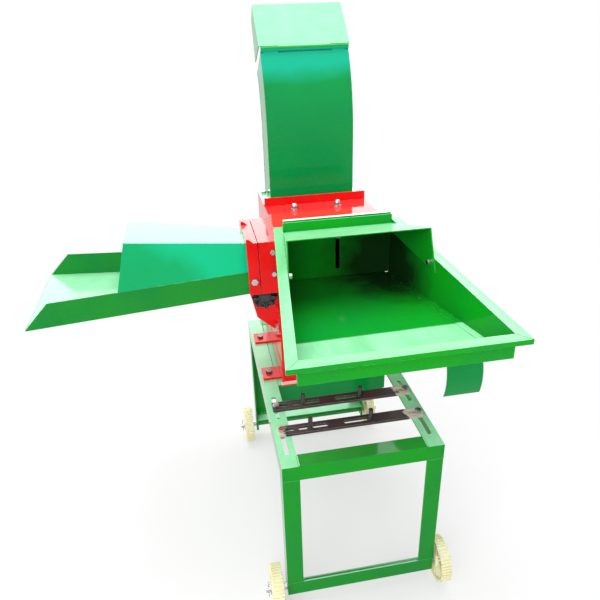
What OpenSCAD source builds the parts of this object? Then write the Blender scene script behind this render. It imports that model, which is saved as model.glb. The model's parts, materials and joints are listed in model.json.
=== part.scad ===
// Belt-driven chaff cutter and fodder mill on a wheeled angle-iron stand.
// Straw goes in by the left trough and grain by the front tray.
// Millimetres. In the modules x runs right, y back from the stand's front, and z up.

/* [Stand] */
// Outside width of the stand
stand_w = 340; // [330:2:360]
// Outside length of the stand
stand_l = 624; // [616:2:660]
// Height of the stand's top face
stand_h = 404; // [390:2:430]
// Leg length of the angle iron
angle_leg = 36; // [34:1:40]
// Thickness of the angle iron
angle_t = 4; // [3:0.5:5]
// Height of the top of the foot beams
foot_beam_top = 69; // [66:1:76]

/* [Wheels] */
// Radius of a wheel
wheel_r = 52; // [44:1:56]
// Width of a wheel
wheel_w = 28; // [24:1:34]
// Gap between a wheel and the stand
wheel_gap = 8; // [5:1:14]
// Radius of the axles
axle_r = 8; // [6:0.5:9]
// Distance of an axle from the end of the stand
axle_inset = 16; // [15:1:20]
// Height of the axles above the lower edge of the foot beams
axle_up = 13; // [12.5:0.5:20]
// Length of axle that stands out of the wheel
axle_tip = 12; // [10:1:20]
// Ribs on each face of a wheel
wheel_ribs = 8; // [5:1:12]

/* [Motor bars] */
// Distance of a motor bar's ends in from the stand's outer faces
bar_inset = 10; // [5:1:12]
// Width of a motor bar
bar_w = 30; // [26:1:36]
// Thickness of a motor bar
bar_t = 6; // [5:0.5:8]
// Middle of the front bar
front_bar_y = 109; // [90:1:112]
// Middle of the rear bar
rear_bar_y = 196; // [180:1:215]
// Start of the front slot in a rail
front_slot_y = 38; // [38:1:44]
// Start of the rear slot in a rail
rear_slot_y = 158; // [150:1:164]
// Length of a slot in a rail
rail_slot_l = 81; // [78:1:90]
// Distance of a slot from the outer edge of its rail
rail_slot_inset = 18; // [16:0.5:20]
// Radius of the clamp bolts
clamp_r = 4; // [3:0.5:5]
// Radius of the motor studs
stud_r = 5; // [4:0.5:6]
// Height of the studs above a bar
stud_h = 24; // [16:1:40]
// First motor stud, from the stand's left face
stud_x = 80; // [76:1:86]
// Distance between the motor studs along a bar
stud_span = 134; // [126:1:140]
// Length of a motor slot in a bar
motor_slot_l = 67; // [60:1:70]

/* [Housing] */
// Left face of the housing, from the stand's left face
house_x = 48; // [46:1:56]
// Width of the housing
house_w = 244; // [240:2:270]
// Front face of the housing
house_y = 283; // [278:1:290]
// Length of the housing, front to back
house_l = 314; // [312:1:330]
// Height of the housing's top face
house_top = 790; // [780:2:800]
// Thickness of the side plates
side_t = 4; // [3:0.5:6]
// Thickness of the housing's other sheets
house_t = 3; // [2:0.5:4]
// Width of a foot under the housing
foot_w = 48; // [40:1:56]
// Thickness of a foot
foot_t = 6; // [5:0.5:8]
// Middle of the front foot
front_foot_y = 335; // [325:1:345]
// Middle of the rear foot
rear_foot_y = 510; // [490:1:530]
// Distance of the foot bolts from the stand's side
foot_bolt_x = 22; // [20:1:24]
// Depth of the front plate's bottom lip
lip_l = 13; // [8:1:20]

/* [Lid] */
// Length of the lid behind its hinge
lid_l = 166; // [162:1:168]
// Distance of the hinge line behind the housing's front
lid_hinge_y = 13; // [12:0.5:16]
// Radius of the hinge knuckles
knuckle_r = 5; // [4:0.5:6]
// Radius of the hinge pins
hinge_pin_r = 2.5; // [2:0.25:3]
// Height of the turned-up rear edge of the lid
lid_lip_h = 20; // [12:1:26]
// Distance of the lid bolts behind the hinge line
lid_bolt_y = 129; // [125:1:134]
// Distance between the lid bolts
lid_bolt_span = 102; // [90:1:140]

/* [Rotor] */
// Distance of the main shaft behind the housing's front
shaft_y = 157; // [156:0.5:158]
// Radius of the main shaft
shaft_r = 12.5; // [11:0.5:13]
// Radius of the paddle and knife tips
rotor_r = 143; // [136:1:145]
// Inner radius of the sieve
sieve_r = 150; // [148:0.5:150]
// Thickness of the sieve
sieve_t = 3; // [2:0.5:3.5]
// Radius of the sieve's holes
sieve_hole_r = 6; // [4:0.5:7]
// Radius of the cutter disc
disc_r = 138; // [130:1:140]
// Thickness of the cutter disc
disc_t = 10; // [8:0.5:12]
// Width of a knife
knife_w = 34; // [28:1:40]
// Thickness of a knife with its seat
knife_t = 15; // [12:0.5:16]
// Number of knives
knife_n = 3; // [2:1:4]
// Radius of the end disc
end_disc_r = 110; // [100:1:130]
// Thickness of the end disc
end_disc_t = 8; // [6:0.5:10]
// Number of thrower paddles
paddle_n = 4; // [3, 4, 6]
// Thickness of a paddle
paddle_t = 8; // [6:0.5:10]
// Inner radius of the paddles
paddle_in_r = 70; // [60:1:90]

/* [Pulley and guard] */
// Radius of the drive pulley
pulley_r = 75; // [65:1:80]
// Width of the drive pulley
pulley_w = 40; // [36:1:44]
// Gap from the housing to the pulley
pulley_gap = 58; // [54:1:62]
// Gap from the housing to the guard's open side
guard_gap = 60; // [56:1:64]
// Width of the guard's band
guard_w = 78; // [72:1:86]
// Radius of the guard's two round ends
guard_r = 107; // [100:1:112]
// Distance of the motor's shaft behind the stand's front
motor_y = 152; // [140:1:160]
// Height of the motor's shaft
motor_z = 525; // [515:1:535]
// Depth of the guard below the motor's shaft
guard_drop = 41; // [30:1:60]
// Radius of the guard's stays
stay_r = 6; // [5:0.5:8]

/* [Feed rollers] */
// Height of the lower roller's axis
lower_z = 636; // [632:1:640]
// Distance of the rollers in front of the left side plate
roller_x = 29.5; // [29.5:0.1:30]
// Radius of the lower roller
lower_r = 17; // [16:0.5:17]
// Radius of the upper roller
upper_r = 19; // [18:0.5:19]
// Gap between the rollers at rest
nip = 8; // [8:0.1:8.6]
// Lift of the upper roller
lift = 10; // [6:0.5:10]
// Radius of the roller shafts
roller_shaft_r = 8; // [6:0.5:8]
// Length of the roller drums
roller_l = 107; // [100:0.5:108]
// Distance of the throat's middle behind the housing's front
throat_y = 83; // [82:0.5:84]
// Ribs on a roller
roller_ribs = 10; // [8:1:14]
// Teeth of the star gears
star_teeth = 8; // [7:1:8]
// Tip radius of the star gears
star_tip_r = 28.7; // [27.5:0.1:28.8]
// Thickness of the star gears
star_t = 9; // [7:0.5:9]
// Teeth of the worm wheel
wheel_teeth = 20; // [20:1:20]
// Pitch radius of the worm wheel
worm_wheel_r = 25; // [24:0.5:25]
// Pitch radius of the worm
worm_r = 21; // [20:0.5:22]
// Height of a worm tooth above its pitch line
worm_add = 2.2; // [1.8:0.1:2.4]
// Thickness of the worm wheel
worm_wheel_t = 18; // [14:0.5:18]

/* [Throat] */
// Distance of the inlet collar's left face from the housing
collar_l = 63; // [62:0.5:66]
// Width of the inlet collar's front leg
collar_leg = 24; // [20:0.5:25]
// Height of the collar's bottom edge
collar_low = 651; // [648:1:653]
// Height of the collar's fold line
collar_fold = 707; // [700:1:712]
// Height of the collar's top face
collar_top = 767; // [762:1:772]
// How far the collar's upper part leans back
collar_lean = 13; // [8:0.5:14]
// Thickness of the throat's sheets
throat_t = 3; // [2.5:0.25:3]
// Thickness of the roller cheeks
cheek_t = 5; // [4:0.5:5]
// Height of the low corner of the gusset
gusset_low = 545; // [535:1:560]
// Width of a sliding block
block_w = 26; // [24:0.5:28]
// Height of a sliding block
block_h = 28; // [26:0.5:30]
// Wire radius of a pressure spring
wire_r = 1.2; // [1:0.1:1.6]
// Coil radius of a pressure spring
coil_r = 4; // [3.5:0.1:4.1]
// Curls of a pressure spring
curls = 7; // [5:1:9]

/* [Feed trough] */
// Length of the trough
trough_l = 456; // [430:1:500]
// Width of the trough at the throat
trough_in_w = 152; // [146:1:156]
// Width of the trough at its outer end
trough_out_w = 280; // [260:1:300]
// Height of the trough's walls
trough_h = 50; // [40:1:56]
// How far the outer wall ends are cut back
trough_cut = 49; // [20:1:60]
// Height of the trough's floor
trough_z = 654; // [654:0.5:656]
// Thickness of the green sheet
sheet_t = 2; // [1.5:0.25:2.5]
// Length of the cover along its foot
cover_l = 272; // [240:1:300]
// How far the cover's outer end leans in
cover_cut = 21; // [10:1:40]
// Height of the cover at the throat
cover_in_h = 57; // [50:1:60]
// Height of the cover at its outer end
cover_out_h = 89; // [80:1:100]
// Top width of the cover at the throat
cover_in_w = 100; // [96:1:120]
// Top width of the cover at its outer end
cover_out_w = 140; // [120:1:160]

/* [Feed tray] */
// Middle of the tray, from the stand's left face
tray_x = 181; // [176:1:184]
// Distance of the tray's front wall in front of the stand
tray_front = 173; // [150:1:200]
// Width between the walls at the front
tray_front_w = 344; // [320:2:370]
// Width between the walls at the back
tray_back_w = 240; // [238:0.5:244]
// Height of the rim at the front
rim_front_z = 760; // [750:1:775]
// Height of the rim at the back
rim_back_z = 803; // [795:1:808]
// Height of the floor at the front
floor_front_z = 720; // [710:1:730]
// Height of the floor at the back
floor_back_z = 677; // [672:1:682]
// Width of the rim
rim_w = 17; // [12:0.5:24]
// Drop of the rim's folded edge
rim_lip = 9; // [6:0.5:14]

/* [Tray hood] */
// Front edge of the hood, behind the stand's front
hood_front_y = 105; // [90:1:130]
// Height of the hood's front edge
hood_front_z = 840; // [825:1:860]
// Height of the hood's plate at the back
hood_back_z = 793; // [786:1:800]
// Forward lean of the hood's side edges
hood_lean = 29; // [10:1:40]
// Height of the hood's turned-up rear edge
hood_lip = 21; // [14:1:26]
// Overlap of the hood's sides with the tray's walls
hood_overlap = 25; // [15:1:40]

/* [Feed gate] */
// Width of the gate
gate_w = 234; // [220:1:235]
// Thickness of the gate
gate_t = 3; // [2:0.5:3]
// Width of the gate's slot
gate_slot_w = 9; // [8.5:0.5:12]
// Height of the slot's lower end above the tray floor
gate_slot_z = 22; // [16:1:26]
// Lift of the gate
gate_lift = 60; // [40:1:62]
// Depth of the gate's folded grip
grip_l = 9; // [6:0.5:9]

/* [Spout] */
// Width of the spout
spout_w = 204; // [190:1:210]
// Depth of the spout, front to back
spout_d = 92; // [80:1:93]
// Distance of the spout behind the housing's front
spout_y = 215; // [212:0.5:216]
// Height of the spout's straight part
spout_h = 150; // [120:1:200]
// Bend radius of the spout's front sheet
spout_r = 350; // [300:5:400]
// Angle of the spout's bend
spout_bend = 32; // [25:1:36]
// Width of the spout's foot flange
spout_flange = 20; // [16:0.5:21]

/* [Spout flap] */
// Length of the flap
flap_l = 126; // [100:1:140]
// Angle of the flap above level
flap_angle = 44; // [40:1:50]
// Depth of the flap's side plates
flap_d = 80; // [60:1:90]
// Depth of the side plates at the flap's free edge
flap_tip_d = 44; // [30:1:60]

/* [Outlet chute] */
// Height of the chute
chute_h = 78; // [60:1:100]
// Width of the chute's mouth
chute_mouth = 150; // [120:1:180]

/* [Bolts] */
// Radius of the hex bolts
bolt_r = 4; // [3:0.5:4]
// Width across the corners of a bolt head
head_w = 16; // [14:0.5:17]
// Height of a bolt head
head_h = 6; // [5:0.5:7]
// Radius of the small bolts through the sheets
small_r = 3; // [2.5:0.5:3]
// Width across the corners of a small bolt head
small_w = 12; // [10:0.5:13]

/* [Hidden] */
// Clearances: running fits, bolt holes, sliding and swinging parts
run_c = 0.05;
hole_c = 0.3;
slide_c = 0.3;
swing_c = 1.5;
$fn = 48;

// Paint and metal colours
green = "forestgreen";
red = "red";
steel = "silver";
dark_steel = "dimgray";
cast_iron = "darkslategray";
cream = "lemonchiffon";

// Stand and wheel places
axle_y = [axle_inset, stand_l - axle_inset];
axle_z = foot_beam_top - angle_leg + axle_up;
wheel_x = [-wheel_gap - wheel_w, stand_w + wheel_gap];
axle_out = wheel_gap + wheel_w + axle_tip;
foot_beam_low = foot_beam_top - angle_leg;
bracket_t = 6;
bracket_x = [0, stand_w - bracket_t];
pin_r = 2;
pin_l = 28;
leg_top = stand_h - angle_leg;
clamp_x = [rail_slot_inset, stand_w - rail_slot_inset];
rail_slot_w = 2*clamp_r + 2;
stud_neck = 0.4;
bar_l = stand_w - 2*bar_inset;
bar_slot_l = 24;
motor_slot_x = [stud_x + 6, stud_x + stud_span - 27];
motor_slot_w = 2*stud_r + 1;
foot_bolts_x = [foot_bolt_x, stand_w - foot_bolt_x];
foot_y = [front_foot_y, rear_foot_y];
foot_top = stand_h + foot_t;
foot_end = 5;

// Housing places
house_r = house_x + house_w;
house_mid = house_x + house_w/2;
house_back = house_y + house_l;
in_l = house_x + side_t;
in_r = house_r - side_t;
axis_y = house_y + shaft_y;
axis_z = lower_z - worm_r - worm_wheel_r;
gate_low = floor_back_z;
header_h = 22;
header_t = 4;
header_leg = 24;
hinge_y = house_y + lid_hinge_y;
hinge_z = house_top + knuckle_r + slide_c;
lid_z = house_top + slide_c;
lid_end = hinge_y + lid_l;
lid_bolts_y = hinge_y + lid_bolt_y;
lid_bolts_x = [house_mid - lid_bolt_span/2 - 5, house_mid + lid_bolt_span/2 - 5];
lid_bar_w = 22;
lid_bar_h = 9;
knuckle_l = 30;
knuckle_x = [house_x + 20, house_r - 20 - 2*knuckle_l];

// Rotor places, along the shaft
cup_in = 14;
cup_out = 12;
cup_r = 33;
cup_flange_r = 52;
cup_flange_t = 8;
cup_bolt_r = 43;
bearing_r = 26;
bearing_w = 15;
knife_x = in_l + 5;
disc_x = knife_x + knife_t;
end_disc_x = in_r - cup_in - 8 - end_disc_t;
paddle_l = end_disc_x - disc_x - disc_t;
pulley_x = house_r + pulley_gap;
key_w = 8;
key_h = 7;
key_l = pulley_w - 8;
shaft_tail = 20;
shaft_l0 = house_x - roller_x - shaft_tail;
shaft_l1 = pulley_x + pulley_w + 4;
knife_in_r = 48;
knife_bolt_in = 22;
knife_bolts_r = [knife_in_r + knife_bolt_in, disc_r - knife_bolt_in];
knife_turn = 30;
hub_r = 2*shaft_r;
hub_l = 20;
paddle_turn = 15;

// Guard places
guard_x = house_r + guard_gap;
guard_dy = axis_y - motor_y;
guard_dz = axis_z - motor_z;
guard_len = norm([guard_dy, guard_dz]);
guard_tilt = atan2(guard_dz, guard_dy);
stay_seat = 0.1;
stay_parts = [[0.56, 0.73], [0.65, -0.62], [-0.98, 0.58]];
stay_at = [for (p = stay_parts) [axis_y, axis_z] + guard_r*p];

// Feed places
feed_x = house_x - roller_x;
feed_y = house_y + throat_y;
upper_z = lower_z + lower_r + upper_r + nip;
roller_y = feed_y - roller_l/2;
cheek_gap = roller_l + 5;
cheek_y = [feed_y - cheek_gap/2 - cheek_t, feed_y + cheek_gap/2];
star_y = cheek_y[0] - star_t - 4;
star_back_r = star_tip_r - 1.2;
star_back_t = 2;
star_root_r = lower_r + upper_r + nip - star_tip_r - 0.8;
block_rest = upper_z - block_h/2;
collar_bolt_z = (collar_low + collar_fold)/2 + 4;
cover_bolt_x = house_x - 7.5;
cover_bolt_up = 38;
gusset_bolt_y = cheek_y[0] - 9;
gusset_bolt_z = gusset_low + 14;
spring_low = upper_z + block_h/2 + 0.3;
spring_high = collar_top - throat_t - 0.3;
spring_out = 0.75;
worm_pitch = 2*PI*worm_wheel_r/wheel_teeth;
worm_wheel_tip = worm_wheel_r + worm_add - 0.2;
worm_l = 33;
collar_x = house_x - collar_l;
collar_front = house_y + 1;
collar_back = axis_y + 18;
cheek_top = collar_top - throat_t - 10;
ledger_h = 13;
ledger_t = 4;

// Tray, hood and gate places
rim_slope = (rim_back_z - rim_front_z)/(house_y + tray_front + rim_w);
tray_run = house_y + tray_front;
wall_turn = atan((tray_front_w - tray_back_w)/2/tray_run);
gate_y = house_y - 1.5 - gate_t;
hood_back_y = gate_y - 2.5;
gate_bolt_z = house_top - 13.5;
gate_top = hood_back_z + hood_lip;

// Spout and flap places
spout_front = house_y + spout_y;
spout_x = house_mid - spout_w/2;
spout_bend_z = house_top + spout_h;
spout_end_y = spout_front + spout_r*(1 - cos(spout_bend));
spout_end_z = spout_bend_z + spout_r*sin(spout_bend);
flap_knuckle_r = 4;
flap_pin_y = spout_end_y - 1;
flap_pin_z = spout_end_z + flap_knuckle_r + 1;
flap_w = spout_w + 2*(swing_c + sheet_t);
flap_x = house_mid - flap_w/2;
flap_knuckle_l = 34;

// Outlet places
chute_c = 1;
chute_lap = 2;
chute_top = stand_h - chute_c/2;
chute_upright = 0.6;
chute_fold = chute_top - chute_h*chute_upright;
chute_low = chute_top - chute_h;

// The whole object's box: the origin is the middle of its base
x_low = collar_x - trough_l;
x_high = guard_x + guard_w + stay_seat + head_h;
y_low = -tray_front - rim_w;
flap_far = flap_pin_y + flap_l*cos(flap_angle) + flap_tip_d*sin(flap_angle);
y_high = max(axle_y[1] + wheel_r, flap_far);
mid_x = (x_low + x_high)/2;
mid_y = (y_low + y_high)/2;

module placed() translate([-mid_x, -mid_y, wheel_r - axle_z]) children();

// A round bar from a point, along x or along y
module bar_x_axis(at, r, l) translate(at) rotate([0, 90, 0]) cylinder(r = r, h = l);
module bar_y_axis(at, r, l) translate(at) rotate([-90, 0, 0]) cylinder(r = r, h = l);

// A flat outline in y and z, thickened along x
module thick_x(x, t) translate([x, 0, 0]) rotate([90, 0, 90]) linear_extrude(t) children();

// A flat outline in x and z, thickened along y
module thick_y(y, t) translate([0, y + t, 0]) rotate([90, 0, 0]) linear_extrude(t) children();

// A round-ended slot, cut along z, from one point to the next
module slot_z(a, b, r, h) {
    translate(a) cylinder(r = r, h = h);
    translate(b) cylinder(r = r, h = h);
    d = b - a;
    translate(a) rotate([0, 0, atan2(d[1], d[0])]) translate([0, -r, 0]) cube([norm(d), 2*r, h]);
}

// A sheet with the given corners, thickened by a vector
module sheet(q, v) {
    n = len(q);
    lay = cross(q[1] - q[0], q[2] - q[1])*v;
    near = [for (i = [0:n - 1]) i];
    far = [for (i = [0:n - 1]) 2*n - 1 - i];
    side = [for (i = [0:n - 1]) [i, i + n, (i + 1)%n + n, (i + 1)%n]];
    turned = [for (f = concat([near, far], side)) lay > 0 ? f : [for (i = [len(f) - 1:-1:0]) f[i]]];
    polyhedron(points = concat(q, [for (p = q) p + v]), faces = turned, convexity = 4);
}

// A hex bolt with its nut: the head sits on z = 0 and the grip is below it
module hex_bolt(grip, r = bolt_r, w = head_w, nut = true, tail = 3) {
    end = grip + tail + (nut ? head_h : 0);
    cylinder(r = w/2, h = head_h, $fn = 6);
    translate([0, 0, -end]) cylinder(r = r, h = end + 1);
    if (nut) translate([0, 0, -grip - head_h]) cylinder(r = w/2, h = head_h, $fn = 6);
}

// Rails: two angle irons with slots for the motor bars and holes for the feet
module side_rails() color(green) placed() {
    for (right = [0, 1]) difference() {
        union() {
            translate([right*(stand_w - angle_leg), 0, stand_h - angle_t]) cube([angle_leg, stand_l, angle_t]);
            translate([right*(stand_w - angle_t), 0, leg_top]) cube([angle_t, stand_l, angle_leg]);
        }
        for (y = [front_slot_y, rear_slot_y])
            slot_z([clamp_x[right], y + rail_slot_w/2, stand_h - 2*angle_t],
                   [clamp_x[right], y + rail_slot_l - rail_slot_w/2, stand_h - 2*angle_t],
                   rail_slot_w/2, 3*angle_t);
        for (y = foot_y)
            translate([foot_bolts_x[right], y, stand_h - 2*angle_t]) cylinder(r = bolt_r + hole_c, h = 3*angle_t);
    }
}

// Cross beams: angle irons between the rails, front and rear
module cross_beams() color(green) placed() {
    for (rear = [0, 1]) {
        translate([angle_leg, rear*(stand_l - angle_leg), stand_h - angle_t])
            cube([stand_w - 2*angle_leg, angle_leg, angle_t]);
        translate([angle_leg, rear*(stand_l - angle_t), leg_top])
            cube([stand_w - 2*angle_leg, angle_t, angle_leg - angle_t + 0.01]);
        for (x = [angle_t, stand_w - angle_leg])
            translate([x, rear*(stand_l - angle_t), leg_top])
                cube([angle_leg - angle_t, angle_t, angle_leg - angle_t]);
    }
}

// Legs: four upright angle irons, standing on the foot beams
module legs() color(green) placed() {
    for (right = [0, 1], rear = [0, 1]) translate([right*stand_w, rear*stand_l, foot_beam_top])
        mirror([right, 0, 0]) mirror([0, rear, 0]) {
            cube([angle_leg, angle_t, leg_top - foot_beam_top]);
            cube([angle_t, angle_leg, leg_top - foot_beam_top]);
        }
}

// Foot beams: angle irons across each end, the front one with its ledge below
module foot_beams() color(green) placed() {
    for (rear = [0, 1]) translate([0, rear*stand_l, foot_beam_low]) mirror([0, rear, 0]) {
        cube([stand_w, angle_t, angle_leg]);
        translate([0, 0, rear*(angle_leg - angle_t)]) cube([stand_w, angle_leg, angle_t]);
    }
}

// Axle brackets: plates welded across the foot beams, holding the axles
module axle_brackets() color(green) placed() {
    for (rear = [0, 1], x = bracket_x) difference() {
        translate([x, rear*stand_l, foot_beam_low + (1 - rear)*angle_t]) mirror([0, rear, 0])
            translate([0, angle_t, 0]) cube([bracket_t, angle_leg - angle_t, angle_leg - angle_t]);
        bar_x_axis([x - 1, axle_y[rear], axle_z], axle_r + run_c, bracket_t + 2);
    }
}

// Axles: round bars across the stand, cross-drilled for the split pins
module axles() color(steel) placed() {
    for (y = axle_y) difference() {
        bar_x_axis([-axle_out, y, axle_z], axle_r, stand_w + 2*axle_out);
        for (x = [-axle_out + axle_tip/2, stand_w + axle_out - axle_tip/2])
            translate([x, y, axle_z - axle_r - 1]) cylinder(r = pin_r + run_c, h = 2*axle_r + 2);
    }
}

// One wheel: a ribbed plastic moulding
module wheel(x, y) {
    rim_t = 7;
    boss_r = axle_r + 9;
    web_t = 7;
    rib_t = 5;
    translate([x, y, axle_z]) rotate([0, 90, 0]) {
        rotate_extrude($fn = 72) polygon([
            [axle_r + run_c, 0], [boss_r, 0], [boss_r, (wheel_w - web_t)/2],
            [wheel_r - rim_t, (wheel_w - web_t)/2], [wheel_r - rim_t, 2], [wheel_r - 3, 2],
            [wheel_r, 5], [wheel_r, wheel_w - 5], [wheel_r - 3, wheel_w - 2],
            [wheel_r - rim_t, wheel_w - 2], [wheel_r - rim_t, (wheel_w + web_t)/2],
            [boss_r, (wheel_w + web_t)/2], [boss_r, wheel_w], [axle_r + run_c, wheel_w]]);
        for (i = [0:wheel_ribs - 1]) rotate([0, 0, i*360/wheel_ribs])
            translate([boss_r - 1, -rib_t/2, 4]) cube([wheel_r - rim_t - boss_r + 2, rib_t, wheel_w - 8]);
    }
}
module wheel_front_left() color(cream) placed() wheel(wheel_x[0], axle_y[0]);
module wheel_front_right() color(cream) placed() wheel(wheel_x[1], axle_y[0]);
module wheel_rear_left() color(cream) placed() wheel(wheel_x[0], axle_y[1]);
module wheel_rear_right() color(cream) placed() wheel(wheel_x[1], axle_y[1]);

// Split pins: hold the wheels on the axle ends
module split_pins() color(steel) placed() {
    for (y = axle_y, x = [-axle_out + axle_tip/2, stand_w + axle_out - axle_tip/2])
        translate([x, y, axle_z - pin_l/2]) cylinder(r = pin_r, h = pin_l);
}

// One motor bar: flat steel with clamp slots at its ends and two motor slots
module motor_bar(y) {
    difference() {
        translate([bar_inset, y - bar_w/2, stand_h]) cube([bar_l, bar_w, bar_t]);
        for (right = [0, 1]) slot_z(
            [clamp_x[right], y, stand_h - 1],
            [clamp_x[right] + (right ? -1 : 1)*bar_slot_l, y, stand_h - 1],
            clamp_r + hole_c, bar_t + 2);
        for (x = motor_slot_x) slot_z(
            [x - (motor_slot_l - motor_slot_w)/2, y, stand_h - 1],
            [x + (motor_slot_l - motor_slot_w)/2, y, stand_h - 1],
            motor_slot_w/2, bar_t + 2);
    }
}
module front_motor_bar() color(dark_steel) placed() motor_bar(front_bar_y);
module rear_motor_bar() color(dark_steel) placed() motor_bar(rear_bar_y);

// Bolts of one motor bar: two clamp bolts in the rails and two motor studs
module bar_bolts(y) {
    for (x = clamp_x) translate([x, y, stand_h + bar_t]) hex_bolt(bar_t + angle_t + 0.2, clamp_r);
    for (x = [stud_x, stud_x + stud_span]) translate([x, y, stand_h]) {
        translate([0, 0, -head_h]) cylinder(r = head_w/2 + 1, h = head_h, $fn = 6);
        translate([0, 0, -1]) cylinder(r = stud_r - stud_neck, h = bar_t + 2);
        translate([0, 0, bar_t]) cylinder(r = stud_r, h = stud_h);
    }
}
module front_bar_bolts() color(steel) placed() bar_bolts(front_bar_y);
module rear_bar_bolts() color(steel) placed() bar_bolts(rear_bar_y);

// Feet: flat bars across the rails that carry the housing
module housing_feet() color(red) placed() {
    for (y = foot_y) difference() {
        translate([foot_end, y - foot_w/2, stand_h]) cube([stand_w - 2*foot_end, foot_w, foot_t]);
        for (x = foot_bolts_x)
            translate([x, y, stand_h - 1]) cylinder(r = bolt_r + hole_c, h = foot_t + 2);
        translate([in_l, y - foot_w, stand_h - 1]) cube([in_r - in_l, 2*foot_w, foot_t + 2]);
    }
}

// The outline of a side plate, with the hole for its bearing housing
module side_outline() {
    difference() {
        translate([house_y, foot_top]) square([house_l, house_top - foot_top]);
        translate([axis_y, axis_z]) circle(r = cup_r + hole_c);
        for (i = [0:3]) translate([axis_y, axis_z]) rotate(45 + 90*i) translate([cup_bolt_r, 0])
            circle(r = bolt_r + hole_c);
    }
}

// Side plates: the left one has the straw's window
module left_side_plate() color(red) placed() {
    window_h = 50;
    thick_x(house_x, side_t) difference() {
        side_outline();
        translate([feed_y - cheek_gap/2, trough_z - 1]) square([cheek_gap, window_h]);
        translate([gusset_bolt_y, gusset_bolt_z]) circle(r = bolt_r + hole_c);
    }
}
module right_side_plate() color(red) placed() {
    thick_x(in_r, side_t) difference() {
        side_outline();
        for (p = stay_at) translate(p) circle(r = stay_r + run_c);
    }
}

// Front plate: below the tray, with a lip turned forward at its foot
module front_plate() color(red) placed() {
    translate([in_l, house_y, foot_top]) cube([in_r - in_l, house_t, gate_low - sheet_t - foot_top]);
    translate([house_x - 6, house_y - lip_l, foot_top]) cube([house_w + 12, lip_l, house_t]);
}

// Back plate: closes the housing behind the rotor
module back_plate() color(red) placed()
    translate([in_l, house_back - house_t, foot_top]) cube([in_r - in_l, house_t, house_top - foot_top]);

// Top plate: behind the lid, open under the spout
module top_plate() color(red) placed() {
    difference() {
        translate([in_l, lid_end + 2, house_top - house_t])
            cube([in_r - in_l, house_back - house_t - lid_end - 2, house_t]);
        translate([spout_x + sheet_t, spout_front + sheet_t, house_top - 2*house_t])
            cube([spout_w - 2*sheet_t, spout_d - 2*sheet_t, 3*house_t]);
        spout_bolt_holes(house_top - 2*house_t, 3*house_t);
    }
}

// Cross bars: the header with the lid's fixed knuckles, and the bar under the lid's bolts
module cross_bars() color(red) placed() {
    difference() {
        union() {
            translate([in_l, house_y, house_top - header_h]) cube([in_r - in_l, header_t, header_h]);
            translate([in_l, house_y, house_top - header_t]) cube([in_r - in_l, header_leg, header_t]);
            for (x = knuckle_x) {
                bar_x_axis([x, hinge_y, hinge_z], knuckle_r, knuckle_l);
                translate([x, hinge_y - knuckle_r, house_top - 1])
                    cube([knuckle_l, 2*knuckle_r, hinge_z - house_top - 1]);
            }
        }
        for (x = knuckle_x) bar_x_axis([x - 1, hinge_y, hinge_z], hinge_pin_r + run_c, knuckle_l + 2);
        bar_y_axis([tray_x, house_y - 1, gate_bolt_z], bolt_r + hole_c, header_t + 2);
    }
    difference() {
        translate([in_l, lid_bolts_y - lid_bar_w/2, house_top - lid_bar_h])
            cube([in_r - in_l, lid_bar_w, lid_bar_h]);
        for (x = lid_bolts_x)
            translate([x, lid_bolts_y, house_top - lid_bar_h - 1]) cylinder(r = bolt_r + 2.5, h = lid_bar_h + 2);
    }
}

// Sieve: a perforated half drum
module sieve_screen() color(dark_steel) placed() {
    rows = 8;
    columns = 9;
    first_row = 195;
    sweep = 150;
    end_gap = 0.5;
    border = 3*sieve_hole_r;
    row_step = sweep/(rows - 1);
    width = in_r - in_l - 2*end_gap;
    column_step = (width - 2*border)/(columns - 1);
    difference() {
        thick_x(in_l + end_gap, width) intersection() {
            translate([axis_y, axis_z]) difference() {
                circle(r = sieve_r + sieve_t, $fn = 96);
                circle(r = sieve_r, $fn = 96);
            }
            translate([axis_y - 2*sieve_r, axis_z - 2*sieve_r]) square([4*sieve_r, 2*sieve_r]);
        }
        for (i = [0:rows - 1], j = [0:columns - 1])
            translate([in_l + end_gap + border + j*column_step, axis_y, axis_z])
                rotate([first_row + i*row_step, 0, 0])
                    bar_y_axis([0, sieve_r - 5, 0], sieve_hole_r, sieve_t + 10);
    }
}

// Lid: hinged behind the tray, turned up at its rear edge
module lid() color(red) placed() {
    difference() {
        union() {
            translate([house_x, hinge_y + knuckle_r + 1, lid_z])
                cube([house_w, lid_l - knuckle_r - 1, house_t]);
            translate([house_x, lid_end - house_t, lid_z]) cube([house_w, house_t, lid_lip_h + house_t]);
            for (x = knuckle_x) {
                bar_x_axis([x + knuckle_l + 0.5, hinge_y, hinge_z], knuckle_r, knuckle_l);
                translate([x + knuckle_l + 0.5, hinge_y, lid_z]) cube([knuckle_l, knuckle_r + 2, house_t]);
            }
        }
        for (x = knuckle_x)
            bar_x_axis([x + knuckle_l - 1, hinge_y, hinge_z], hinge_pin_r + run_c, knuckle_l + 3);
        for (x = lid_bolts_x) translate([x, lid_bolts_y, lid_z - 1]) cylinder(r = bolt_r + run_c, h = house_t + 2);
    }
}

// Lid bolts: cap screws that stay in the lid when it opens
module lid_bolts() color(steel) placed() {
    cap_r = 8;
    for (x = lid_bolts_x) translate([x, lid_bolts_y, lid_z + house_t]) {
        cylinder(r = cap_r + 2, h = 2);
        translate([0, 0, 1]) cylinder(r = cap_r, h = 7, $fn = 6);
        intersection() {
            translate([0, 0, 8]) sphere(r = cap_r - 1);
            translate([-cap_r, -cap_r, 6]) cube(2*cap_r);
        }
        translate([0, 0, -lid_bar_h - house_t - 6]) cylinder(r = bolt_r, h = lid_bar_h + house_t + 7);
    }
}

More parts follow.
